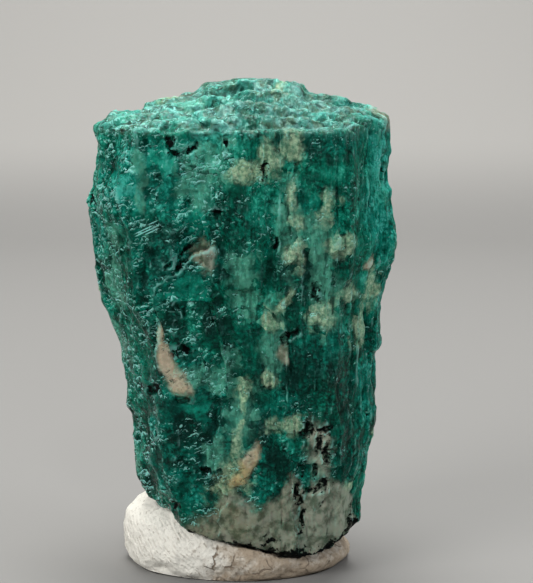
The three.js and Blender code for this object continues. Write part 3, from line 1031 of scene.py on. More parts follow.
class NodeSheet:
    """A node tree being laid out: makes nodes, sets their plain values and joins their sockets."""

    def __init__(self, tree: bpy.types.NodeTree) -> None:
        """Starts laying out nodes in a tree."""
        self.tree = tree

    def feed(self, socket: Socket, value: Fed) -> None:
        """Joins a socket to another socket, or sets its plain value."""
        if isinstance(value, bpy.types.NodeSocket):
            self.tree.links.new(value, socket)
        else:
            socket.default_value = value

    def node(self, kind: str, fed: dict[str | int, Fed], **settings: object) -> bpy.types.Node:
        """Makes a node.

        Args:
            kind: The node's Blender type.
            fed: What goes into each named or numbered input.
            **settings: The node's own properties.

        Returns:
            The node.
        """
        made = self.tree.nodes.new(kind)
        for name, value in settings.items():
            setattr(made, name, value)
        for name, value in fed.items():
            self.feed(made.inputs[name], value)
        return made

    def maths(self, operation: str, first: Fed, second: Fed = 0.0) -> Socket:
        """The result of one arithmetic step."""
        return self.node("ShaderNodeMath", {0: first, 1: second}, operation=operation).outputs[0]

    def span(
        self, value: Fed, low: float, high: float, out_low: float = 0.0, out_high: float = 1.0
    ) -> Socket:
        """Carries a value smoothly from one range to another."""
        fed = {"Value": value, "From Min": low, "From Max": high, "To Min": out_low, "To Max": out_high}
        made = self.node("ShaderNodeMapRange", fed, interpolation_type="SMOOTHSTEP")
        return made.outputs["Result"]

    def mix(self, share: Fed, first: Fed, second: Fed, blend: str = "MIX") -> Socket:
        """Mixes two colours."""
        made = self.node("ShaderNodeMix", {}, data_type="RGBA", blend_type=blend)
        self.feed(made.inputs[0], share)
        self.feed(made.inputs[6], first)
        self.feed(made.inputs[7], second)
        return made.outputs[2]

    def vector_maths(self, operation: str, first: Fed, second: Fed) -> bpy.types.Node:
        """One step of vector arithmetic."""
        return self.node("ShaderNodeVectorMath", {0: first, 1: second}, operation=operation)

    def stretched(self, vector: Socket, scale: Colour) -> Socket:
        """Multiplies a vector axis by axis."""
        return self.vector_maths("MULTIPLY", vector, scale).outputs[0]

    def swayed(self, vector: Socket, fineness: float, amount: float) -> Socket:
        """Moves a vector about by noise, by up to half of amount each way."""
        fed = {"Vector": vector, "Scale": fineness, "Detail": 3.0}
        colour = self.node("ShaderNodeTexNoise", fed).outputs["Color"]
        centred = self.vector_maths("SUBTRACT", colour, (0.5, 0.5, 0.5)).outputs[0]
        moved = self.vector_maths("MULTIPLY", centred, (amount, amount, amount)).outputs[0]
        return self.vector_maths("ADD", vector, moved).outputs[0]

    def total(self, *parts: Fed) -> Socket:
        """Adds several values."""
        running = parts[0]
        for part in parts[1:]:
            running = self.maths("ADD", running, part)
        return running

    def scaled(self, value: Fed, middle: float, gain: Fed) -> Socket:
        """How far a value is from a middle, times a gain."""
        return self.maths("MULTIPLY", self.maths("SUBTRACT", value, middle), gain)

    def noise(self, vector: Socket, scale: Fed, detail: float = 3.0, warp: float = 0.0) -> Socket:
        """Layered noise from 0 to 1, with this many cells to a unit of the vector."""
        fed = {"Vector": vector, "Scale": scale, "Detail": detail, "Roughness": 0.6, "Distortion": warp}
        return self.node("ShaderNodeTexNoise", fed).outputs["Fac"]

    def cells(self, vector: Socket, scale: Fed, feature: str = "F1") -> bpy.types.Node:
        """Jittered cells, with this many to a unit of the vector."""
        return self.node("ShaderNodeTexVoronoi", {"Vector": vector, "Scale": scale}, feature=feature)

    def apart(self, vector: Socket) -> tuple[Socket, Socket, Socket]:
        """The three numbers of a vector."""
        made = self.node("ShaderNodeSeparateXYZ", {0: vector})
        return made.outputs[0], made.outputs[1], made.outputs[2]

    def pattern(self, name: str) -> tuple[Socket, Socket, Socket]:
        """The three numbers of one of the piece's surface patterns."""
        made = self.node("ShaderNodeAttribute", {}, attribute_name=name)
        return self.apart(made.outputs["Vector"])

    def group(self, tree: bpy.types.NodeTree, fed: dict[str | int, Fed]) -> bpy.types.Node:
        """Places a shared effect with its own values."""
        made = self.tree.nodes.new("ShaderNodeGroup")
        made.node_tree = tree
        for name, value in fed.items():
            self.feed(made.inputs[name], value)
        return made


class SharedEffects:
    """The effects used more than once, each built once as a shader node group: the fragments by both
    finishes, the frayed border and the painted glint rims by the emerald alone.
    """

    def __init__(self) -> None:
        """Builds the groups."""
        self.frayed = self.build_frayed()
        self.fragments = self.build_fragments()
        # painted highlights and painted shade on chip rims
        self.chipped = self.build_painted_glint_rims()

    @staticmethod
    def begin(
        name: str, inputs: dict[str, str], outputs: tuple[str, ...]
    ) -> tuple[NodeSheet, bpy.types.Node]:
        """Starts a group.

        Args:
            name: The group's name.
            inputs: Each input's name and socket type.
            outputs: The names of its outputs, which are all plain numbers.

        Returns:
            The sheet to lay nodes on, and the group's input node.
        """
        tree = bpy.data.node_groups.new(name, "ShaderNodeTree")
        for label, kind in inputs.items():
            tree.interface.new_socket(label, in_out="INPUT", socket_type=kind)
        for label in outputs:
            tree.interface.new_socket(label, in_out="OUTPUT", socket_type="NodeSocketFloat")
        sheet = NodeSheet(tree)
        return sheet, tree.nodes.new("NodeGroupInput")

    def build_frayed(self) -> bpy.types.NodeTree:
        """A mask from a surface field, with a border that noise frays."""
        inputs = {
            "Vector": "NodeSocketVector",
            "Field": "NodeSocketFloat",
            "Fray": "NodeSocketFloat",
            "Fineness": "NodeSocketFloat",
            "Softness": "NodeSocketFloat",
        }
        sheet, taken = self.begin("frayed_border", inputs, ("Mask",))
        noise = sheet.noise(taken.outputs["Vector"], taken.outputs["Fineness"], 5.0, 0.4)
        shaken = sheet.maths("MULTIPLY", sheet.maths("SUBTRACT", noise, 0.5), taken.outputs["Fray"])
        value = sheet.maths("ADD", taken.outputs["Field"], shaken)
        low = sheet.maths("MULTIPLY", taken.outputs["Softness"], -1.0)
        fed = {"Value": value, "From Min": low, "From Max": taken.outputs["Softness"]}
        mask = sheet.node("ShaderNodeMapRange", fed, interpolation_type="SMOOTHSTEP").outputs["Result"]
        sheet.node("NodeGroupOutput", {"Mask": mask})
        return sheet.tree

    def build_fragments(self) -> bpy.types.NodeTree:
        """Flat fragments that each lean their own way: tone, closeness to a gap, and height."""
        inputs = {"Vector": "NodeSocketVector", "Fineness": "NodeSocketFloat"}
        sheet, taken = self.begin("broken_fragments", inputs, ("Tone", "Gap", "Height"))
        vector, fineness = taken.outputs["Vector"], taken.outputs["Fineness"]
        cells = sheet.cells(vector, fineness)
        border = sheet.cells(vector, fineness, "DISTANCE_TO_EDGE").outputs["Distance"]
        lean = sheet.vector_maths("SUBTRACT", cells.outputs["Color"], (0.5, 0.5, 0.5)).outputs[0]
        away = sheet.vector_maths("SUBTRACT", vector, cells.outputs["Position"]).outputs[0]
        plane = sheet.vector_maths("DOT_PRODUCT", away, lean).outputs["Value"]
        height = sheet.maths("MULTIPLY", plane, fineness)
        tone = sheet.apart(cells.outputs["Color"])[0]
        gap = sheet.span(border, 0.0, 0.16, 1.0, 0.0)
        sheet.node("NodeGroupOutput", {"Tone": tone, "Gap": gap, "Height": height})
        return sheet.tree

    def build_painted_glint_rims(self) -> bpy.types.NodeTree:
        """Painted highlights and painted shade on the rims of small scoops: lit where they face up and shaded
        where they face down.

        Every scoop is one cell. Its rim is the band beside its border, and the rim faces the way
        that leads from the cell's middle. A noise keeps some rims and drops the others.
        """
        inputs = {
            "Vector": "NodeSocketVector",
            "Fineness": "NodeSocketFloat",
            "Width": "NodeSocketFloat",
            "Amount": "NodeSocketFloat",
        }
        sheet, taken = self.begin("painted_glint_rims", inputs, ("Lit", "Shaded", "Height"))
        vector, fineness = taken.outputs["Vector"], taken.outputs["Fineness"]
        width = taken.outputs["Width"]
        cells = sheet.cells(vector, fineness)
        border = sheet.cells(vector, fineness, "DISTANCE_TO_EDGE").outputs["Distance"]
        away = sheet.vector_maths("SUBTRACT", vector, cells.outputs["Position"]).outputs[0]
        outwards = sheet.vector_maths("NORMALIZE", away, (0.0, 0.0, 0.0)).outputs[0]
        # the painted light comes from above, a little from the left and from the front
        facing = sheet.vector_maths("DOT_PRODUCT", outwards, (-0.35, -0.15, 0.92)).outputs["Value"]
        cut = sheet.noise(vector, sheet.maths("MULTIPLY", fineness, 0.55), 2.0)
        cut_from = sheet.maths("SUBTRACT", 0.72, sheet.maths("MULTIPLY", taken.outputs["Amount"], 0.34))
        fed = {"Value": cut, "From Min": cut_from, "From Max": sheet.maths("ADD", cut_from, 0.10)}
        kept = sheet.node("ShaderNodeMapRange", fed, interpolation_type="SMOOTHSTEP").outputs["Result"]
        chance = sheet.apart(cells.outputs["Color"])[1]
        kept = sheet.maths("MULTIPLY", kept, sheet.span(chance, 0.15, 0.75, 0.0, 1.0))
        near = {"Value": border, "From Min": width, "From Max": 0.0}
        rim = sheet.node("ShaderNodeMapRange", near, interpolation_type="SMOOTHSTEP").outputs["Result"]
        broad = {"Value": border, "From Min": sheet.maths("MULTIPLY", width, 2.2), "From Max": 0.0}
        under = sheet.node("ShaderNodeMapRange", broad, interpolation_type="SMOOTHSTEP").outputs["Result"]
        lit = sheet.maths("MULTIPLY", sheet.maths("MULTIPLY", rim, kept), sheet.span(facing, 0.2, 0.6))
        shaded = sheet.maths("MULTIPLY", sheet.maths("MULTIPLY", under, kept), sheet.span(facing, -0.1, -0.5))
        sheet.node("NodeGroupOutput", {"Lit": lit, "Shaded": shaded, "Height": cells.outputs["Distance"]})
        return sheet.tree


def new_material(name: str) -> tuple[bpy.types.Material, NodeSheet, bpy.types.Node]:
    """Starts a material.

    Args:
        name: The material's name.

    Returns:
        The material, the sheet of its tree and its Principled shader.
    """
    material = bpy.data.materials.new(name)
    material.use_nodes = True
    sheet = NodeSheet(material.node_tree)
    return material, sheet, material.node_tree.nodes["Principled BSDF"]


def millimetres(sheet: NodeSheet, middle: Vector) -> Socket:
    """Object coordinates counted in millimetres from a piece's middle."""
    place = sheet.node("ShaderNodeTexCoord", {}).outputs["Object"]
    location = tuple(-METRE * value for value in middle)
    fed = {"Vector": place, "Location": location, "Scale": (METRE, METRE, METRE)}
    return sheet.node("ShaderNodeMapping", fed).outputs[0]


@dataclass(frozen=True)
class EmeraldFinish:
    """Glassy green beryl, with its feldspar, milky veils and mica coloured by the surface patterns, and with
    painted highlights on chip rims and edges and painted shade in hollows and gaps.
    """

    stops: tuple[tuple[float, Colour], ...] = (
        (0.00, (0.000, 0.012, 0.007)),
        (0.25, (0.000, 0.046, 0.027)),
        (0.50, (0.000, 0.105, 0.065)),
        (0.75, (0.004, 0.200, 0.132)),
        (1.00, (0.045, 0.390, 0.285)),
    )
    teal_cast: Colour = (1.0, 0.97, 1.08)
    frost: Colour = (0.098, 0.222, 0.203)
    olive: Colour = (0.080, 0.135, 0.090)
    # the colour of the painted highlights on chip rims and outstanding edges, and of the scratches' pale
    # lines
    light: Colour = (0.330, 0.780, 0.710)
    milky: Colour = (0.085, 0.320, 0.225)
    clear: Colour = (0.004, 0.230, 0.155)
    pale: Colour = (0.420, 0.560, 0.380)
    pale_dark: Colour = (0.130, 0.260, 0.160)
    cream: Colour = (0.540, 0.475, 0.355)
    cream_dark: Colour = (0.360, 0.300, 0.220)
    grey: Colour = (0.310, 0.335, 0.268)
    grey_dark: Colour = (0.105, 0.125, 0.088)
    warm_tint: Colour = (0.84, 0.76, 0.50)
    mica: Colour = (0.004, 0.004, 0.004)
    refraction: float = 1.58
    glint: Colour = (0.22, 0.95, 0.80)
    relief: float = 0.00022
    scatter_share: float = 0.5
    scatter_reach: Colour = (0.25, 1.0, 0.7)
    scatter_scale: float = 0.00035

    def build(self, effects: SharedEffects, middle: Vector) -> bpy.types.Material:
        """Makes the material.

        Args:
            effects: The shared node groups.
            middle: The crystal's middle, in metres.

        Returns:
            The finished material.
        """
        material, sheet, shader = new_material("emerald")
        place = millimetres(sheet, middle)
        swayed = sheet.swayed(place, 0.9, 0.9)
        tall = sheet.stretched(swayed, (1.0, 1.0, 0.30))
        fibres = sheet.stretched(place, (1.0, 1.0, 0.14))
        shift, edge, broken = sheet.pattern("tone_edge_broken")
        frost, sparkle, cast = sheet.pattern("frost_sparkle_cast")
        whole = sheet.maths("SUBTRACT", 1.0, broken)

        chunks = sheet.group(effects.fragments, {"Vector": swayed, "Fineness": 0.8})
        bits = sheet.group(effects.fragments, {"Vector": swayed, "Fineness": 2.1})
        grains = sheet.group(effects.fragments, {"Vector": swayed, "Fineness": 4.2})
        curled = sheet.swayed(place, 1.1, 0.7)
        # painted highlights and painted shade on fine chip rims; their Height also shapes the tone and the
        # bump
        fine = sheet.group(
            effects.chipped, {"Vector": curled, "Fineness": 2.3, "Width": 0.25, "Amount": sparkle}
        )
        streaks = sheet.noise(tall, 1.2, 3.0, 0.4)
        fine_streaks = sheet.noise(fibres, 3.6, 2.0)
        clouds = sheet.noise(place, 0.24, 2.0, 0.6)
        lumps = sheet.noise(swayed, 0.75, 2.0, 0.4)
        dust = sheet.noise(place, 3.0, 4.0, 0.3)
        crisp = sheet.span(sheet.noise(place, 0.34, 2.0), 0.42, 0.58, 0.25, 1.2)
        tone = sheet.total(
            shift,
            sheet.scaled(clouds, 0.5, 1.1),
            sheet.scaled(streaks, 0.5, sheet.span(broken, 0.0, 1.0, 0.75, 0.2)),
            sheet.scaled(fine_streaks, 0.5, sheet.span(whole, 0.0, 1.0, 0.1, 0.7)),
            sheet.scaled(lumps, 0.5, sheet.span(broken, 0.0, 1.0, 0.7, 1.1)),
            sheet.scaled(dust, 0.5, sheet.maths("MULTIPLY", crisp, 0.9)),
            sheet.scaled(chunks.outputs["Tone"], 0.5, sheet.span(broken, 0.0, 1.0, 0.05, 0.22)),
            sheet.scaled(bits.outputs["Tone"], 0.5, sheet.maths("MULTIPLY", crisp, 0.24)),
            # painted shade: darker in the gaps between fragments
            sheet.scaled(bits.outputs["Gap"], 0.3, -0.08),
            sheet.scaled(grains.outputs["Tone"], 0.5, sheet.maths("MULTIPLY", crisp, 0.30)),
            sheet.scaled(fine.outputs["Height"], 0.45, sheet.maths("MULTIPLY", crisp, -0.24)),
            # painted shade: darker in the gaps between grains
            sheet.scaled(grains.outputs["Gap"], 0.3, -0.06),
        )
        colour = self.body(sheet, tone)
        colour = sheet.mix(cast, colour, solid(self.teal_cast), "MULTIPLY")

        pale_field, cream_field, grey_field = sheet.pattern("pale_cream_grey")
        milky_field, clear_field, mica_field = sheet.pattern("milky_clear_mica")
        mottle = sheet.span(sheet.noise(tall, 1.9, 4.0, 0.4), 0.32, 0.66)
        speckle = sheet.span(dust, 0.34, 0.66)
        facets = sheet.scaled(chunks.outputs["Tone"], 0.5, 0.7)
        milky = self.mask(sheet, effects, place, sheet.maths("ADD", milky_field, facets), 1.0, 1.2, 0.40)
        clear = self.mask(sheet, effects, place, sheet.maths("ADD", clear_field, facets), 0.6, 1.0, 0.30)
        pale = self.mask(sheet, effects, place, sheet.maths("ADD", pale_field, facets), 1.4, 1.3, 0.52)
        cream = self.mask(sheet, effects, place, cream_field, 1.1, 1.3, 0.44)
        grey = self.mask(sheet, effects, place, grey_field, 1.0, 1.2, 0.40)
        mica = self.mask(sheet, effects, place, sheet.maths("SUBTRACT", mica_field, 0.25), 4.4, 2.2, 0.20)

        frosted = sheet.mix(sheet.span(lumps, 0.40, 0.60), solid(self.olive), solid(self.frost))
        frost_share = sheet.maths("MULTIPLY", frost, sheet.span(mottle, 0.0, 1.0, 0.45, 0.9))
        colour = sheet.mix(frost_share, colour, frosted)
        milky_share = sheet.maths("MULTIPLY", milky, sheet.span(mottle, 0.0, 1.0, 0.35, 0.85))
        colour = sheet.mix(milky_share, colour, solid(self.milky))
        clear_share = sheet.maths("MULTIPLY", clear, sheet.span(speckle, 0.0, 1.0, 0.45, 0.85))
        colour = sheet.mix(clear_share, colour, solid(self.clear))
        marbling = sheet.span(sheet.noise(place, 0.8, 5.0, 0.2), 0.36, 0.60)
        leftward = sheet.span(sheet.apart(place)[0], 7.0, -1.0, 0.15, 1.0)
        warmth = sheet.maths("MULTIPLY", sheet.span(sheet.noise(place, 0.32, 3.0), 0.36, 0.58), leftward)
        ochre = sheet.span(sheet.apart(place)[2], -6.0, -10.0, 0.3, 1.0)
        for share, dark, light, blotch, stained, cover in (
            (pale, self.pale_dark, self.pale, speckle, 0.20, sheet.span(mottle, 0.0, 1.0, 0.5, 0.88)),
            (grey, self.grey_dark, self.grey, marbling, 0.45, 0.86),
            (cream, self.cream_dark, self.cream, sheet.span(speckle, 0.0, 1.0, 0.45, 1.0), ochre, 0.88),
        ):
            stone = sheet.mix(blotch, solid(dark), solid(light))
            stone = sheet.mix(sheet.maths("MULTIPLY", warmth, stained), stone, solid(self.warm_tint), "MULTIPLY")
            colour = sheet.mix(sheet.maths("MULTIPLY", share, cover), colour, stone)

        # painted highlights and painted shade on wider, rarer chip rims, joined to the fine ones
        level = sheet.stretched(curled, (1.0, 1.0, 1.6))
        rarer = sheet.maths("SUBTRACT", sparkle, 0.28)
        wide = sheet.group(
            effects.chipped, {"Vector": level, "Fineness": 0.85, "Width": 0.22, "Amount": rarer}
        )
        fine_lit = sheet.maths("MULTIPLY", fine.outputs["Lit"], 0.85)
        lit = sheet.maths("MAXIMUM", sheet.maths("MULTIPLY", wide.outputs["Lit"], 0.95), fine_lit)
        fine_shaded = sheet.maths("MULTIPLY", fine.outputs["Shaded"], 0.8)
        shaded = sheet.maths("MAXIMUM", wide.outputs["Shaded"], fine_shaded)
        # the scratches' pale lines join the painted highlights
        along, across, on_front = sheet.pattern("scratches")
        for offset, start, reach in SCRATCHES.lines:
            near = sheet.span(sheet.maths("ABSOLUTE", sheet.maths("SUBTRACT", across, offset)), 0.07, 0.02)
            inside = sheet.span(
                sheet.maths("ABSOLUTE", sheet.maths("SUBTRACT", along, start)), reach, reach - 0.4, 0.0, 0.75
            )
            line = sheet.maths("MULTIPLY", sheet.maths("MULTIPLY", near, inside), on_front)
            lit = sheet.maths("MAXIMUM", lit, line)
        # painted shade: corners sunk below their near neighbours, and the chip rims that face down, darken
        # towards the deepest green
        hollow_shade = sheet.maths("MULTIPLY", sheet.span(edge, -0.1, -0.9), 0.8)
        painted_shade = sheet.maths("MULTIPLY", sheet.maths("MAXIMUM", hollow_shade, shaded), 0.85)
        colour = sheet.mix(painted_shade, colour, solid(self.stops[0][1]))
        # painted highlight along the skin's outstanding edges; with the lit chip rims and the scratches'
        # lines it is mixed in the highlight colour
        painted_lighting = sheet.maths("MULTIPLY", sheet.span(edge, 0.3, 1.0), 0.30)
        lit = sheet.maths("MULTIPLY", lit, sheet.span(cream, 0.2, 1.0, 1.0, 0.15))
        colour = sheet.mix(sheet.maths("MAXIMUM", painted_lighting, lit), colour, solid(self.light))
        colour = sheet.mix(mica, colour, solid(self.mica))

        stony = sheet.maths("MAXIMUM", sheet.maths("MAXIMUM", pale, cream), grey)
        glassy = sheet.span(bits.outputs["Tone"], 0.0, 1.0, 0.10, 0.36)
        roughness = sheet.maths("MAXIMUM", glassy, sheet.maths("MULTIPLY", stony, 0.5))
        dull = sheet.maths("MAXIMUM", mica, sheet.maths("MAXIMUM", stony, painted_shade))
        aside = sheet.span(sheet.maths("ABSOLUTE", sheet.apart(place)[0]), 8.5, 12.5, 1.0, 0.25)
        shine = sheet.maths("MULTIPLY", sheet.span(dull, 0.0, 1.0, 0.24, 0.03), aside)
        height = sheet.total(
            sheet.maths("MULTIPLY", chunks.outputs["Height"], sheet.span(broken, 0.0, 1.0, 0.2, 0.9)),
            sheet.maths("MULTIPLY", bits.outputs["Height"], 0.7),
            sheet.scaled(wide.outputs["Height"], 0.5, 0.6),
            sheet.scaled(fine.outputs["Height"], 0.5, 0.3),
            sheet.scaled(dust, 0.5, 0.5),
            sheet.scaled(fine_streaks, 0.5, sheet.maths("MULTIPLY", whole, 0.8)),
        )
        height = sheet.maths("MULTIPLY", height, sheet.span(stony, 0.0, 1.0, 1.0, 0.5))
        bump = sheet.node("ShaderNodeBump", {"Height": height, "Strength": 1.0, "Distance": self.relief})
        sheet.feed(shader.inputs["Base Color"], colour)
        sheet.feed(shader.inputs["Roughness"], roughness)
        sheet.feed(shader.inputs["Normal"], bump.outputs["Normal"])
        shader.inputs["IOR"].default_value = self.refraction
        sheet.feed(shader.inputs["Specular IOR Level"], shine)
        shader.inputs["Specular Tint"].default_value = solid(self.glint)
        shader.inputs["Subsurface Weight"].default_value = self.scatter_share
        shader.inputs["Subsurface Radius"].default_value = self.scatter_reach
        shader.inputs["Subsurface Scale"].default_value = self.scatter_scale
        return material

    @staticmethod
    def mask(
        sheet: NodeSheet,
        effects: SharedEffects,
        place: Socket,
        value: Socket,
        fray: float,
        fineness: float,
        softness: float,
    ) -> Socket:
        """One kind's mask, with a border frayed by noise."""
        fed = {"Vector": place, "Field": value, "Fray": fray, "Fineness": fineness, "Softness": softness}
        return sheet.group(effects.frayed, fed).outputs["Mask"]

    def body(self, sheet: NodeSheet, tone: Socket) -> Socket:
        """The green at each tone, from the deepest to the lightest."""
        ramp = sheet.node("ShaderNodeValToRGB", {0: tone})
        elements = ramp.color_ramp.elements
        while len(elements) < len(self.stops):
            elements.new(0.5)
        for element, (position, colour) in zip(elements, self.stops):
            element.position = position
            element.color = solid(colour)
        return ramp.outputs[0]


@dataclass(frozen=True)
class PuttyFinish:
    """Matt white putty that turns tan towards the right and near the bottom, with fingertip ridges and fine
    pits, and painted shade in its pits, cracks and ridge furrows.
    """

    white: Colour = (0.90, 0.88, 0.80)
    tan: Colour = (0.400, 0.322, 0.236)
    pit_and_crack_shade: Colour = (0.22, 0.17, 0.12)
    ridge_height: float = 0.00005

    def build(self, effects: SharedEffects, middle: Vector) -> bpy.types.Material:
        """Makes the material.

        Args:
            effects: The shared node groups.
            middle: The pad's middle, in metres.

        Returns:
            The finished material.
        """
        material, sheet, shader = new_material("putty")
        place = millimetres(sheet, middle)
        phase, ridged, tan_side = sheet.pattern("ridge_print_tan")
        cloud = sheet.noise(place, 0.5, 4.0, 0.4)
        grain = sheet.noise(place, 2.2, 5.0)
        warm_tint = sheet.total(tan_side, sheet.scaled(cloud, 0.5, 1.3), sheet.scaled(grain, 0.5, 0.5))
        colour = sheet.mix(sheet.span(warm_tint, 0.25, 0.95), solid(self.white), solid(self.tan))
        pits = sheet.span(sheet.maths("ADD", grain, sheet.maths("MULTIPLY", tan_side, 0.06)), 0.575, 0.69)
        bent = sheet.swayed(place, 0.7, 1.6)
        border = sheet.cells(bent, 0.30, "DISTANCE_TO_EDGE").outputs["Distance"]
        torn = sheet.span(sheet.noise(place, 0.45, 2.0), 0.46, 0.58)
        cracks = sheet.maths("MULTIPLY", sheet.span(border, 0.030, 0.010), torn)
        cracks = sheet.maths("MULTIPLY", cracks, sheet.span(tan_side, 0.10, 0.45))
        # painted shade: the pits and cracks, which the bump also sinks, are darkened
        painted_lighting = sheet.maths("MAXIMUM", sheet.maths("MULTIPLY", pits, 0.55), cracks)
        colour = sheet.mix(painted_lighting, colour, solid(self.pit_and_crack_shade))
        wave = sheet.maths("SINE", sheet.maths("MULTIPLY", phase, 2.0 * math.pi))
        waver = sheet.span(sheet.noise(place, 1.4, 2.0), 0.40, 0.62)
        ridges = sheet.maths("MULTIPLY", sheet.maths("MULTIPLY", wave, ridged), waver)
        # painted shade: the fingertip ridges' furrows are tinted tan
        furrow_shade = sheet.span(ridges, -1.0, 0.0, 0.24, 0.0)
        colour = sheet.mix(furrow_shade, colour, solid(self.tan))
        crumbs = sheet.group(effects.fragments, {"Vector": place, "Fineness": 2.4})
        height = sheet.total(
            ridges,
            sheet.maths("MULTIPLY", crumbs.outputs["Height"], 1.5),
            sheet.scaled(grain, 0.5, 6.0),
            sheet.maths("MULTIPLY", painted_lighting, -2.0),
        )
        bump = sheet.node(
            "ShaderNodeBump", {"Height": height, "Strength": 1.0, "Distance": self.ridge_height}
        )
        sheet.feed(shader.inputs["Base Color"], colour)
        sheet.feed(shader.inputs["Roughness"], sheet.span(cloud, 0.2, 0.8, 0.55, 0.75))
        sheet.feed(shader.inputs["Normal"], bump.outputs["Normal"])
        return material


@dataclass(frozen=True)
class PaperFinish:
    """The plain pale sheet that the specimen stands on, which isn't part of it."""

    wall: Colour = (0.300, 0.295, 0.284)
    floor: Colour = (0.205, 0.203, 0.197)
    floor_up_to: float = 0.0
    wall_from: float = 0.04

    def build(self) -> bpy.types.Material:
        """Makes the material, matt, and a little darker near the floor."""
        material, sheet, shader = new_material("paper_sweep")
        place = sheet.node("ShaderNodeTexCoord", {}).outputs["Object"]
        up = sheet.span(sheet.apart(place)[2], self.floor_up_to, self.wall_from)
        sheet.feed(shader.inputs["Base Color"], sheet.mix(up, solid(self.floor), solid(self.wall)))
        shader.inputs["Roughness"].default_value = 0.85
        return material


# ---- The pieces ----


@dataclass(frozen=True)
class Bands:
    """Where the colour patterns change over the crystal: none of the change at the first place, all at
    the second, in millimetres."""

    top: tuple[float, float] = (46.5, 49.0)
    upper: tuple[float, float] = (33.0, 42.0)
    lit_right_edge: tuple[float, float] = (11.0, 14.0)
    left_edge: tuple[float, float] = (-9.0, -12.0)
    left: tuple[float, float] = (1.0, -4.0)
    left_above: tuple[float, float] = (34.0, 41.0)
    frosted: tuple[float, float] = (46.9, 48.0)
    glinting_left: tuple[float, float] = (-8.0, -11.0)
    glinting_top: tuple[float, float] = (47.0, 48.0)
    scratched: tuple[float, float] = (-8.0, -9.0)


@dataclass(frozen=True)
class Tones:
    """How much each place adds to the green's lightness, from 0 for the deepest to 1 for the lightest."""

    everywhere: float = 0.355
    # partly the top's own paler green, partly painted light from above
    top: float = 0.13
    upper: float = 0.17
    # painted light: the right edge lighter, as if lit from the side
    lit_right_edge: float = 0.26
    left_edge: float = 0.04
    upper_left: float = 0.18
    # painted light and shade: lighter where the skin stands out, darker where it sinks
    relief_shading: float = 0.30
    deep: float = 0.28


BANDS = Bands()
TONES = Tones()


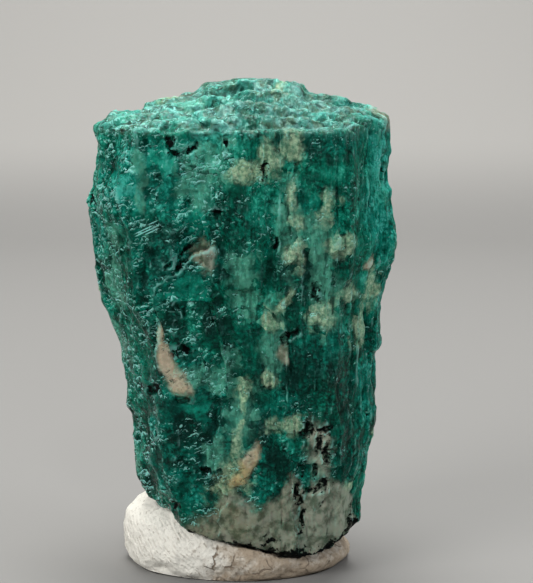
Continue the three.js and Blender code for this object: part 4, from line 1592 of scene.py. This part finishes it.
@dataclass
class Crystal:
    """The emerald crystal: the prism, its skin and the patterns that its finish reads."""

    prism: Prism = field(default_factory=Prism)
    skin: Skin = field(default_factory=Skin)
    grid: BlockGrid = BlockGrid(120, 80, 195)
    scatter_seed: int = 7
    box_softness: float = 0.6
    node: str = "emerald_crystal"

    def build(self, effects: SharedEffects) -> tuple[bpy.types.Object, Floats, Fit]:
        """Makes and dresses the crystal.

        Args:
            effects: The shared node groups.

        Returns:
            The crystal's object, its corners in its own plan, and the fit into the frame.
        """
        faces = self.grid.faces()
        plain = self.prism.surface(self.grid)
        fit = Fit.to_node(self.node, plain)
        inclusions = list(FRONT_INCLUSIONS) + scattered(plain, self.scatter_seed)
        fields = kind_fields(plain, inclusions)
        foot = FeldsparFoot()
        underside = self.prism.foot(plain[:, 0], plain[:, 1])
        fields[Kind.GREY] = np.maximum(fields[Kind.GREY], foot.field(plain))
        # the foot's black rim, mica with a line of painted shade, is coloured as mica
        fields[Kind.MICA] = np.maximum(fields[Kind.MICA], foot.rim_mica_and_shade_field(plain, underside))
        height, broken = self.skin.heights(plain, fields)
        points = plain + vertex_normals(plain, faces) * height[:, None]
        points = self.held_inside(points, fit)
        patterns = self.patterns(points, faces, height, broken, fields)
        piece = make_piece("emerald_skin", points + fit.shift, faces, patterns)
        low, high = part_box(self.node)
        piece.data.materials.append(EmeraldFinish().build(effects, (low + high) / 2))
        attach(piece, BODY)
        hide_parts(self.node)
        LOG.info("crystal: %d corners, %d inclusions", len(points), len(inclusions))
        return piece, points, fit

    def held_inside(self, points: Floats, fit: Fit) -> Floats:
        """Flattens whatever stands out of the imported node's box, past a margin, by a soft limit.

        Beyond a start just inside the box, a distance d is carried to s tanh(d / s), with s the
        softness, so that it never passes the start by more than s.

        Args:
            points: The corners.
            fit: The fit into the frame.

        Returns:
            The corners, all inside.
        """
        low, high = (np.array(corner) * METRE - fit.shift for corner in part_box(self.node))
        start_low, start_high = low + self.box_softness - 0.2, high - self.box_softness + 0.2
        over = np.maximum(points - start_high, 0.0)
        under = np.maximum(start_low - points, 0.0)
        soft = self.box_softness
        inside = np.clip(points, start_low, start_high)
        return inside + soft * np.tanh(over / soft) - soft * np.tanh(under / soft)

    @staticmethod
    def patterns(
        points: Floats, faces: Whole, height: Floats, broken: Floats, fields: dict[Kind, Floats]
    ) -> dict[str, Floats]:
        """The surface patterns: tone, edges and breaks, and the inclusions' fields.

        Args:
            points: The finished corners.
            faces: The faces.
            height: The skin's height at each corner.
            broken: How broken the surface is.
            fields: The inclusions' fields.

        Returns:
            Three values to a corner, under each pattern's name.
        """
        x, y, z = points.T
        fine = height - smoothed(height, faces, 5)
        coarse = height - smoothed(height, faces, 60)
        # edge: how far each corner stands out of its near neighbours; the finish paints highlights where it
        # stands out and shade where it sinks
        edge = np.clip(fine * 7.0, -1.0, 1.0)
        # the top is lighter: partly its own paler green, partly painted light from above
        tone = TONES.everywhere + TONES.top * smooth_step(*BANDS.top, z)
        tone += TONES.upper * smooth_step(*BANDS.upper, z)
        # painted light: the right edge lighter, as if lit from the side
        tone += TONES.lit_right_edge * smooth_step(*BANDS.lit_right_edge, x)
        tone += TONES.left_edge * smooth_step(*BANDS.left_edge, x)
        tone += TONES.upper_left * smooth_step(*BANDS.left, x) * smooth_step(*BANDS.left_above, z)
        # painted light and shade: lighter where the skin stands out, darker where it sinks
        tone += TONES.relief_shading * np.clip(coarse, -1.0, 0.6)
        tone -= TONES.deep * smooth_step(-0.35, 0.5, fields[Kind.DEEP])
        frost = smooth_step(*BANDS.frosted, z + 0.5 * layered_noise(points, 1.5, 660, 2))
        frost *= 0.35 + 0.65 * smooth_step(-0.25, 0.15, layered_noise(points, (3.5, 2.0, 3.5), 661, 2))
        # sparkle: how many painted glints each place gets, most on the left, on broken ground and on the top,
        # fewest on the grey feldspar
        sparkle = 0.25 + 0.30 * smooth_step(*BANDS.glinting_left, x) + 0.35 * broken
        sparkle += 0.10 * smooth_step(*BANDS.glinting_top, z)
        sparkle += 0.80 * layered_noise(points, 2.6, 662, 3) - 0.6 * smooth_step(-0.2, 0.3, fields[Kind.GREY])
        cast = smooth_step(-0.35, 0.45, layered_noise(points, 7.0, 663, 2) + 0.3 * smooth_step(40, 48, z))
        along, across = SCRATCHES.place(points)
        return {
            "scratches": np.stack([along, across, smooth_step(*BANDS.scratched, y)], axis=1),
            "tone_edge_broken": np.stack([tone, edge, broken], axis=1),
            "frost_sparkle_cast": np.stack([frost, sparkle, cast], axis=1),
            "pale_cream_grey": np.stack([fields[k] for k in (Kind.PALE, Kind.CREAM, Kind.GREY)], axis=1),
            "milky_clear_mica": np.stack([fields[k] for k in (Kind.MILKY, Kind.CLEAR, Kind.MICA)], axis=1),
        }


@dataclass
class PuttyPad:
    """The putty lump: a low dome that is thick on the left, pressed in from above by the crystal."""

    middle_x: float = -0.35
    middle_y: float = -0.6
    left: float = 12.8
    right: float = 12.5
    front: float = 8.8
    back: float = 8.6
    thin_end: float = 3.9
    thick_slope: float = 0.33
    thick_from: float = 9.0
    shoulder_share: float = 0.34
    foot_inset: float = 0.9
    dome_power: float = 2.4
    dome_root: float = 0.6
    clearance: float = 0.12
    ridge_period: float = 0.45
    whorl: tuple[float, float] = (3.0, 12.5)
    grid: BlockGrid = BlockGrid(130, 90, 22)
    node: str = "putty_pad"

    def build(self, effects: SharedEffects, crystal: Floats, fit: Fit) -> bpy.types.Object:
        """Makes and dresses the pad.

        Args:
            effects: The shared node groups.
            crystal: The crystal's corners, which the pad is pressed by.
            fit: The fit into the frame.

        Returns:
            The pad's object.
        """
        faces = self.grid.faces()
        plain = self.lump()
        points = self.pressed(self.kneaded(plain, faces), crystal)
        x, _, z = points.T
        phase = np.hypot(x - self.whorl[0], z - self.whorl[1]) / self.ridge_period
        phase += 0.35 * layered_noise(points, 3.0, 720, 2)
        print_share = smooth_step(-3.0, -6.5, x) * smooth_step(0.3, 1.2, z) * smooth_step(7.0, 5.0, z)
        print_share += 0.6 * smooth_step(7.0, 8.5, x)
        # tan towards the right and near the bottom
        tan_share = smooth_step(-8.0, 1.5, x) * 0.85 + 0.25 * smooth_step(1.6, 0.2, z)
        patterns = {"ridge_print_tan": np.stack([phase, np.clip(print_share, 0, 1), tan_share], axis=1)}
        piece = make_piece("putty_lump", points + fit.shift, faces, patterns)
        low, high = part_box(self.node)
        piece.data.materials.append(PuttyFinish().build(effects, (low + high) / 2))
        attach(piece, BODY)
        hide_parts(self.node)
        LOG.info("putty pad: %d corners", len(points))
        return piece

    def lump(self) -> Floats:
        """The lump before it is pressed: a rounded wall up to a shoulder, and a dome above it.

        Returns:
            One row of x, y, z for each corner.
        """
        angle, out, up = self.grid.corners()
        reach_x = np.where(np.cos(angle) < 0, self.left, self.right)
        reach_y = np.where(np.sin(angle) < 0, self.front, self.back)
        rim = np.stack([np.cos(angle), np.sin(angle), np.zeros_like(angle)], axis=1)
        reach = 1.0 + 0.03 * layered_noise(rim, 0.7, 701, 2)
        x = self.middle_x + reach * reach_x * np.cos(angle) * out
        y = self.middle_y + reach * reach_y * np.sin(angle) * out
        thick = self.thin_end + self.thick_slope * soft_ramp(self.thick_from - x, 1.5)
        shoulder = self.shoulder_share * thick
        inset = self.foot_inset * (1.0 - up) ** 2
        dome = (1.0 - np.minimum(out, 1.0) ** self.dome_power) ** self.dome_root
        on_wall = out == 1.0
        z = np.where(on_wall, shoulder * up, np.where(up == 0, 0.0, shoulder + (thick - shoulder) * dome))
        foot = 1.0 - self.foot_inset / np.hypot(reach_x, reach_y)
        pull = np.where(on_wall, 1.0, np.where(up == 0, foot, 1.0))
        x = self.middle_x + (x - self.middle_x) * pull - np.where(on_wall, inset * np.cos(angle), 0.0)
        y = self.middle_y + (y - self.middle_y) * pull - np.where(on_wall, inset * np.sin(angle), 0.0)
        return np.stack([x, y, z], axis=1)

    @staticmethod
    def kneaded(points: Floats, faces: Whole) -> Floats:
        """Adds folds, finger dents and crumbs along the normals, and none on the flat underside.

        Args:
            points: The lump's corners.
            faces: The faces.

        Returns:
            The moved corners.
        """
        height = 0.32 * layered_noise(points, 4.2, 710, 3)
        height += 0.35 * chips(points, (3.2, 2.6, 1.8), 711, 0.5)
        height += 0.10 * layered_noise(points, 1.1, 713, 3)
        height *= smooth_step(0.0, 0.6, points[:, 2])
        moved = points + vertex_normals(points, faces) * height[:, None]
        moved[:, 2] = np.maximum(moved[:, 2], 0.0)
        return moved

    def pressed(self, points: Floats, crystal: Floats) -> Floats:
        """Lowers the pad's top to stay clear of the crystal above it.

        The crystal's lowest height over each small square of the plan is gathered into a table,
        empty squares take their neighbours' lowest, and the pad's corners are held below it.

        Args:
            points: The pad's corners.
            crystal: The crystal's corners.

        Returns:
            The pad's corners, lowered where the crystal stands.
        """
        pitch, start = 0.3, np.array([-18.0, -14.0])
        size = (120, 94)
        table = np.full(size, np.inf)
        where = np.floor((crystal[:, :2] - start) / pitch).astype(np.int64)
        np.minimum.at(table, (where[:, 0], where[:, 1]), crystal[:, 2])
        spread = table.copy()
        for shift_x, shift_y in ((1, 0), (-1, 0), (0, 1), (0, -1)):
            spread = np.minimum(spread, np.roll(table, (shift_x, shift_y), axis=(0, 1)))
        spot = np.floor((points[:, :2] - start) / pitch).astype(np.int64)
        roof = spread[spot[:, 0], spot[:, 1]] - self.clearance
        points[:, 2] = np.clip(points[:, 2], 0.0, np.maximum(roof, 0.0))
        return points


@dataclass
class Studio:
    """A plain pale sweep, soft light and the camera. None of it is part of the object."""

    camera_place: Colour = (2.8, -138.7, 49.0)
    pitch_down: float = 7.8
    lens: float = 78.5

    def build(self, fit: Fit) -> None:
        """Makes the sweep, the lights and the camera."""
        self.sweep()
        self.light("window_left", (-0.33, -0.25, 0.24), 0.18, 1.25, (1.0, 0.98, 0.95))
        self.light("window_right", (0.38, -0.10, 0.16), 0.16, 0.60, (0.96, 0.98, 1.0))
        self.light("above", (0.0, 0.03, 0.42), 0.22, 0.95, (1.0, 0.99, 0.97))
        self.light("front_fill", (0.05, -0.60, 0.22), 0.30, 0.50, (0.97, 0.98, 1.0))
        self.light("spark_left", (-0.22, -0.30, 0.20), 0.035, 0.14, (1.0, 1.0, 1.0))
        self.light("spark_high", (0.06, -0.28, 0.30), 0.035, 0.14, (1.0, 1.0, 1.0))
        self.light("wall_wash", (0.0, 0.25, 0.80), 0.50, 9.0, (1.0, 0.99, 0.97), (0.0, 0.55, 0.10))
        world = bpy.data.worlds.new("studio_air")
        world.use_nodes = True
        world.node_tree.nodes["Background"].inputs["Color"].default_value = (0.9, 0.93, 0.96, 1.0)
        world.node_tree.nodes["Background"].inputs["Strength"].default_value = 0.12
        bpy.context.scene.world = world
        bpy.context.scene.view_settings.view_transform = "Standard"
        self.camera(fit)
        LOG.info("studio: sweep, lights and camera")

    @staticmethod
    def sweep() -> None:
        """A sheet that is level under the object and curves up into a wall behind it."""
        floor_end, radius, wall_top, front, half = 0.35, 0.30, 1.4, -0.7, 1.4
        bend = np.linspace(0.0, math.pi / 2, 25)
        profile_y = np.concatenate([[front], floor_end + radius * np.sin(bend), [floor_end + radius]])
        profile_z = np.concatenate([[0.0], radius * (1.0 - np.cos(bend)), [wall_top]])
        across = np.linspace(-half, half, 9)
        x, y = np.meshgrid(across, profile_y, indexing="ij")
        z = np.broadcast_to(profile_z, y.shape)
        points = np.stack([x, y, z], axis=-1).reshape(-1, 3) * METRE
        number = np.arange(len(points)).reshape(x.shape)
        faces = np.stack([number[:-1, :-1], number[1:, :-1], number[1:, 1:], number[:-1, 1:]], axis=-1)
        sheet = make_piece("paper_sweep", points, faces.reshape(-1, 4), {})
        sheet.data.materials.append(PaperFinish().build())

    @staticmethod
    def light(
        name: str,
        place: Colour,
        size: float,
        power: float,
        colour: Colour,
        target: Colour = (0.0, 0.0, 0.028),
    ) -> None:
        """Adds a square light.

        Args:
            name: The light's name.
            place: Where it is, in metres.
            size: Its side, in metres.
            power: Its power, in watts.
            colour: Its colour.
            target: What it faces, which is the crystal's middle unless it is given.
        """
        data = bpy.data.lights.new(name, "AREA")
        data.size = size
        data.energy = power
        data.color = colour
        lamp = bpy.data.objects.new(name, data)
        lamp.location = place
        aim = Vector(target) - Vector(place)
        lamp.rotation_euler = aim.to_track_quat("-Z", "Y").to_euler()
        bpy.context.scene.collection.objects.link(lamp)

    def camera(self, fit: Fit) -> None:
        """Places the camera level with the crystal's top edge, looking slightly down."""
        data = bpy.data.cameras.new("camera")
        data.lens = self.lens
        data.sensor_width = 36.0
        data.clip_start = 0.005
        data.clip_end = 10.0
        camera = bpy.data.objects.new("camera", data)
        camera.location = tuple((np.array(self.camera_place) + fit.shift) / METRE)
        camera.rotation_euler = (math.radians(90.0 - self.pitch_down), 0.0, 0.0)
        bpy.context.scene.collection.objects.link(camera)
        bpy.context.scene.camera = camera


def main() -> None:
    """Builds the crystal, the putty pad and the studio."""
    logging.basicConfig(level=logging.INFO, format="%(name)s: %(message)s")
    effects = SharedEffects()
    _, corners, fit = Crystal().build(effects)
    PuttyPad().build(effects, corners, fit)
    Studio().build(fit)


if __name__ == "__main__":
    main()
